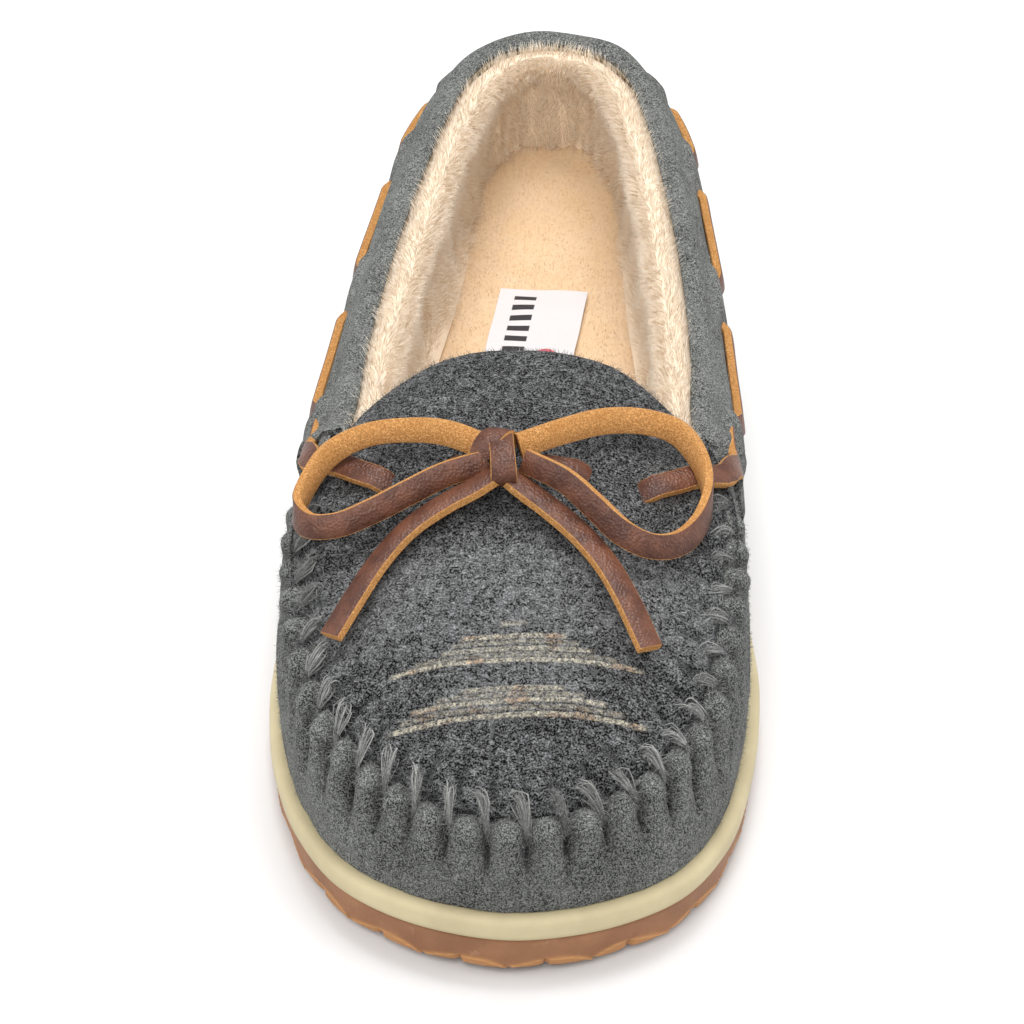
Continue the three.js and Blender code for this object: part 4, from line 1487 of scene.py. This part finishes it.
def stitch_shape():
    x = np.linspace(-0.5, 0.5, 7)[:, None]
    r = np.array([0.35, 0.85, 1, 1, 1, 0.85, 0.35])[:, None]
    a = np.linspace(0, 2 * np.pi, 6, endpoint=False)[None]
    lift = 0.9 * np.cos(np.pi * x) - 0.6
    sections = np.stack([x + 0 * a, r * np.cos(a), lift + r * np.sin(a)], -1)
    return loose_object("stitch", *loft(sections))


def top_stitching(rows):
    """Short thread stitches along the cuff's seam and both edges of the back stay."""
    s = np.linspace(-6.6, 6.6, 900)
    level = CUFF_LOW + 0.03
    cuff = wall(s, level, cuff_lift(s, level) + cuff_relief(s, level))
    lines = [(cuff, wall_normal(s, level), 2.9)]
    v = np.linspace(0.03, CUFF_LOW - 0.03, 40)
    for side in (-0.44, 0.44):
        lines.append((wall(side, v, GAP + 0.9), wall_normal(side, v), 2.6))
    places = []
    turns = []
    for line, out, pitch in lines:
        run = walked(line)
        at = np.arange(pitch / 2, run[-1], pitch)
        normal = unit(looked_up(at, run, out))
        ahead = unit(looked_up(at, run, np.gradient(line, axis=0)))
        places.extend(looked_up(at, run, line) + normal * 0.1)
        turns.extend(Vector(a).to_track_quat("X", "Z").to_euler() for a in ahead)
    thread = strand_wool("thread_grey", (96, 97, 96), (150, 150, 147))
    size = (2.0, 0.34, 0.34)
    set_in_rows("top_stitching", rows, stitch_shape(), places, turns, size, thread)


# ---- assembly
LACE = lace_leather()
lace_round_collar()
bow_loop("medial", LOOP_MEDIAL)
bow_loop("lateral", LOOP_LATERAL)
bow_tail("medial", TAIL_MEDIAL, (0.64, -0.75, 0.19), (-0.4, -0.1, 0.91))
bow_tail("lateral", TAIL_LATERAL, (0.72, 0.68, -0.12), (0.3, -0.15, 0.94))
bow_knot()
add_studio()

GUM = gum_rubber()
DARK_SUEDE = suede("suede_dark", (4, 6, 6), (148, 150, 147), 0.64, 0.05)
LIGHT_SUEDE = suede("suede_light", (22, 24, 23), (150, 152, 148), 0.6, 0.05)
WOOL_CLOTH = woven_wool()
FLEECE = fleece("fleece", (226, 208, 184), (238, 228, 213), 0.3, 0.11)
FOOT_FLEECE = fleece("footbed_fleece", (216, 188, 156), (226, 203, 174), 0.7, 0.03)
PLUG_GRID = np.meshgrid(np.linspace(0, 1, 121), np.linspace(PLUG_START, TOE, 181))
PLUG_TABLE = plug(*(q.ravel() for q in PLUG_GRID))

midsole_band()
outsole_body()
vamp_leather = vamp()
quarter(1, "lateral")
quarter(-1, "medial")
collar_cuff()
back_stay()
seam_wool = seam_stitches()
vamp_lining()
cloth_plug = wool_plug()
lining = quarter_lining()
throat_fleece = plug_lining()
foot = footbed_pile()
sock_label()

row = row_tree()
tread_lugs(row)
top_stitching(row)

PILE_TREE = pile_tree()
STRAND = strand_shape()
for part in range(4):
    name = "lining_pile_%d" % part
    grow_pile(name, lining, "pile", FLEECE, 1.35, (2.2, 3.8), SEED + part, Lay=(0, 0, 0.05))
fine = {"Thickness": 0.035 * MM}
grow_pile("footbed_pile_strands", foot, "pile", FOOT_FLEECE, 1.6, (0.5, 0.9), SEED + 5, **fine)
grow_pile("throat_pile", throat_fleece, "pile", FLEECE, 2.0, (2.5, 4.0), SEED + 6)
fuzz = {"Thickness": 0.045 * MM, "Clump Size": 1 / (2.2 * MM), "Clump Lean": 5.0}
fuzz.update({"Scatter": 1.0, "Lay": (0.0, 0.0, 0.0)})
wool_hair = strand_wool("wool_hair", (22, 22, 24), (128, 129, 129))
pale_hair = strand_wool("pale_hair", (44, 45, 46), (168, 169, 167))
grow_pile("wool_fuzz", cloth_plug, "wool", wool_hair, 1.5, (0.7, 1.6), SEED + 7, **fuzz)
grow_pile("seam_fuzz", seam_wool, "thread", pale_hair, 2.2, (0.8, 2.2), SEED + 8, **fuzz)
grow_pile("suede_nap", vamp_leather, "suede", pale_hair, 1.5, (0.45, 1.1), SEED + 9, **fuzz)
bpy.data.objects.remove(STRAND)

fillers = {
    "insole_board": filler("fibre_board", (140, 116, 82), (176, 150, 112), 1.5),
    "footbed_foam": filler("footbed_foam", (214, 206, 184), (238, 232, 216), 1.2),
    "collar_foam": filler("collar_foam", (214, 206, 184), (238, 232, 216), 1.2),
    "heel_counter": filler("heel_counter", (170, 150, 118), (198, 178, 146), 1.8),
}
for node, material in fillers.items():
    for held in bpy.data.objects[node].material_slots:
        held.material = material
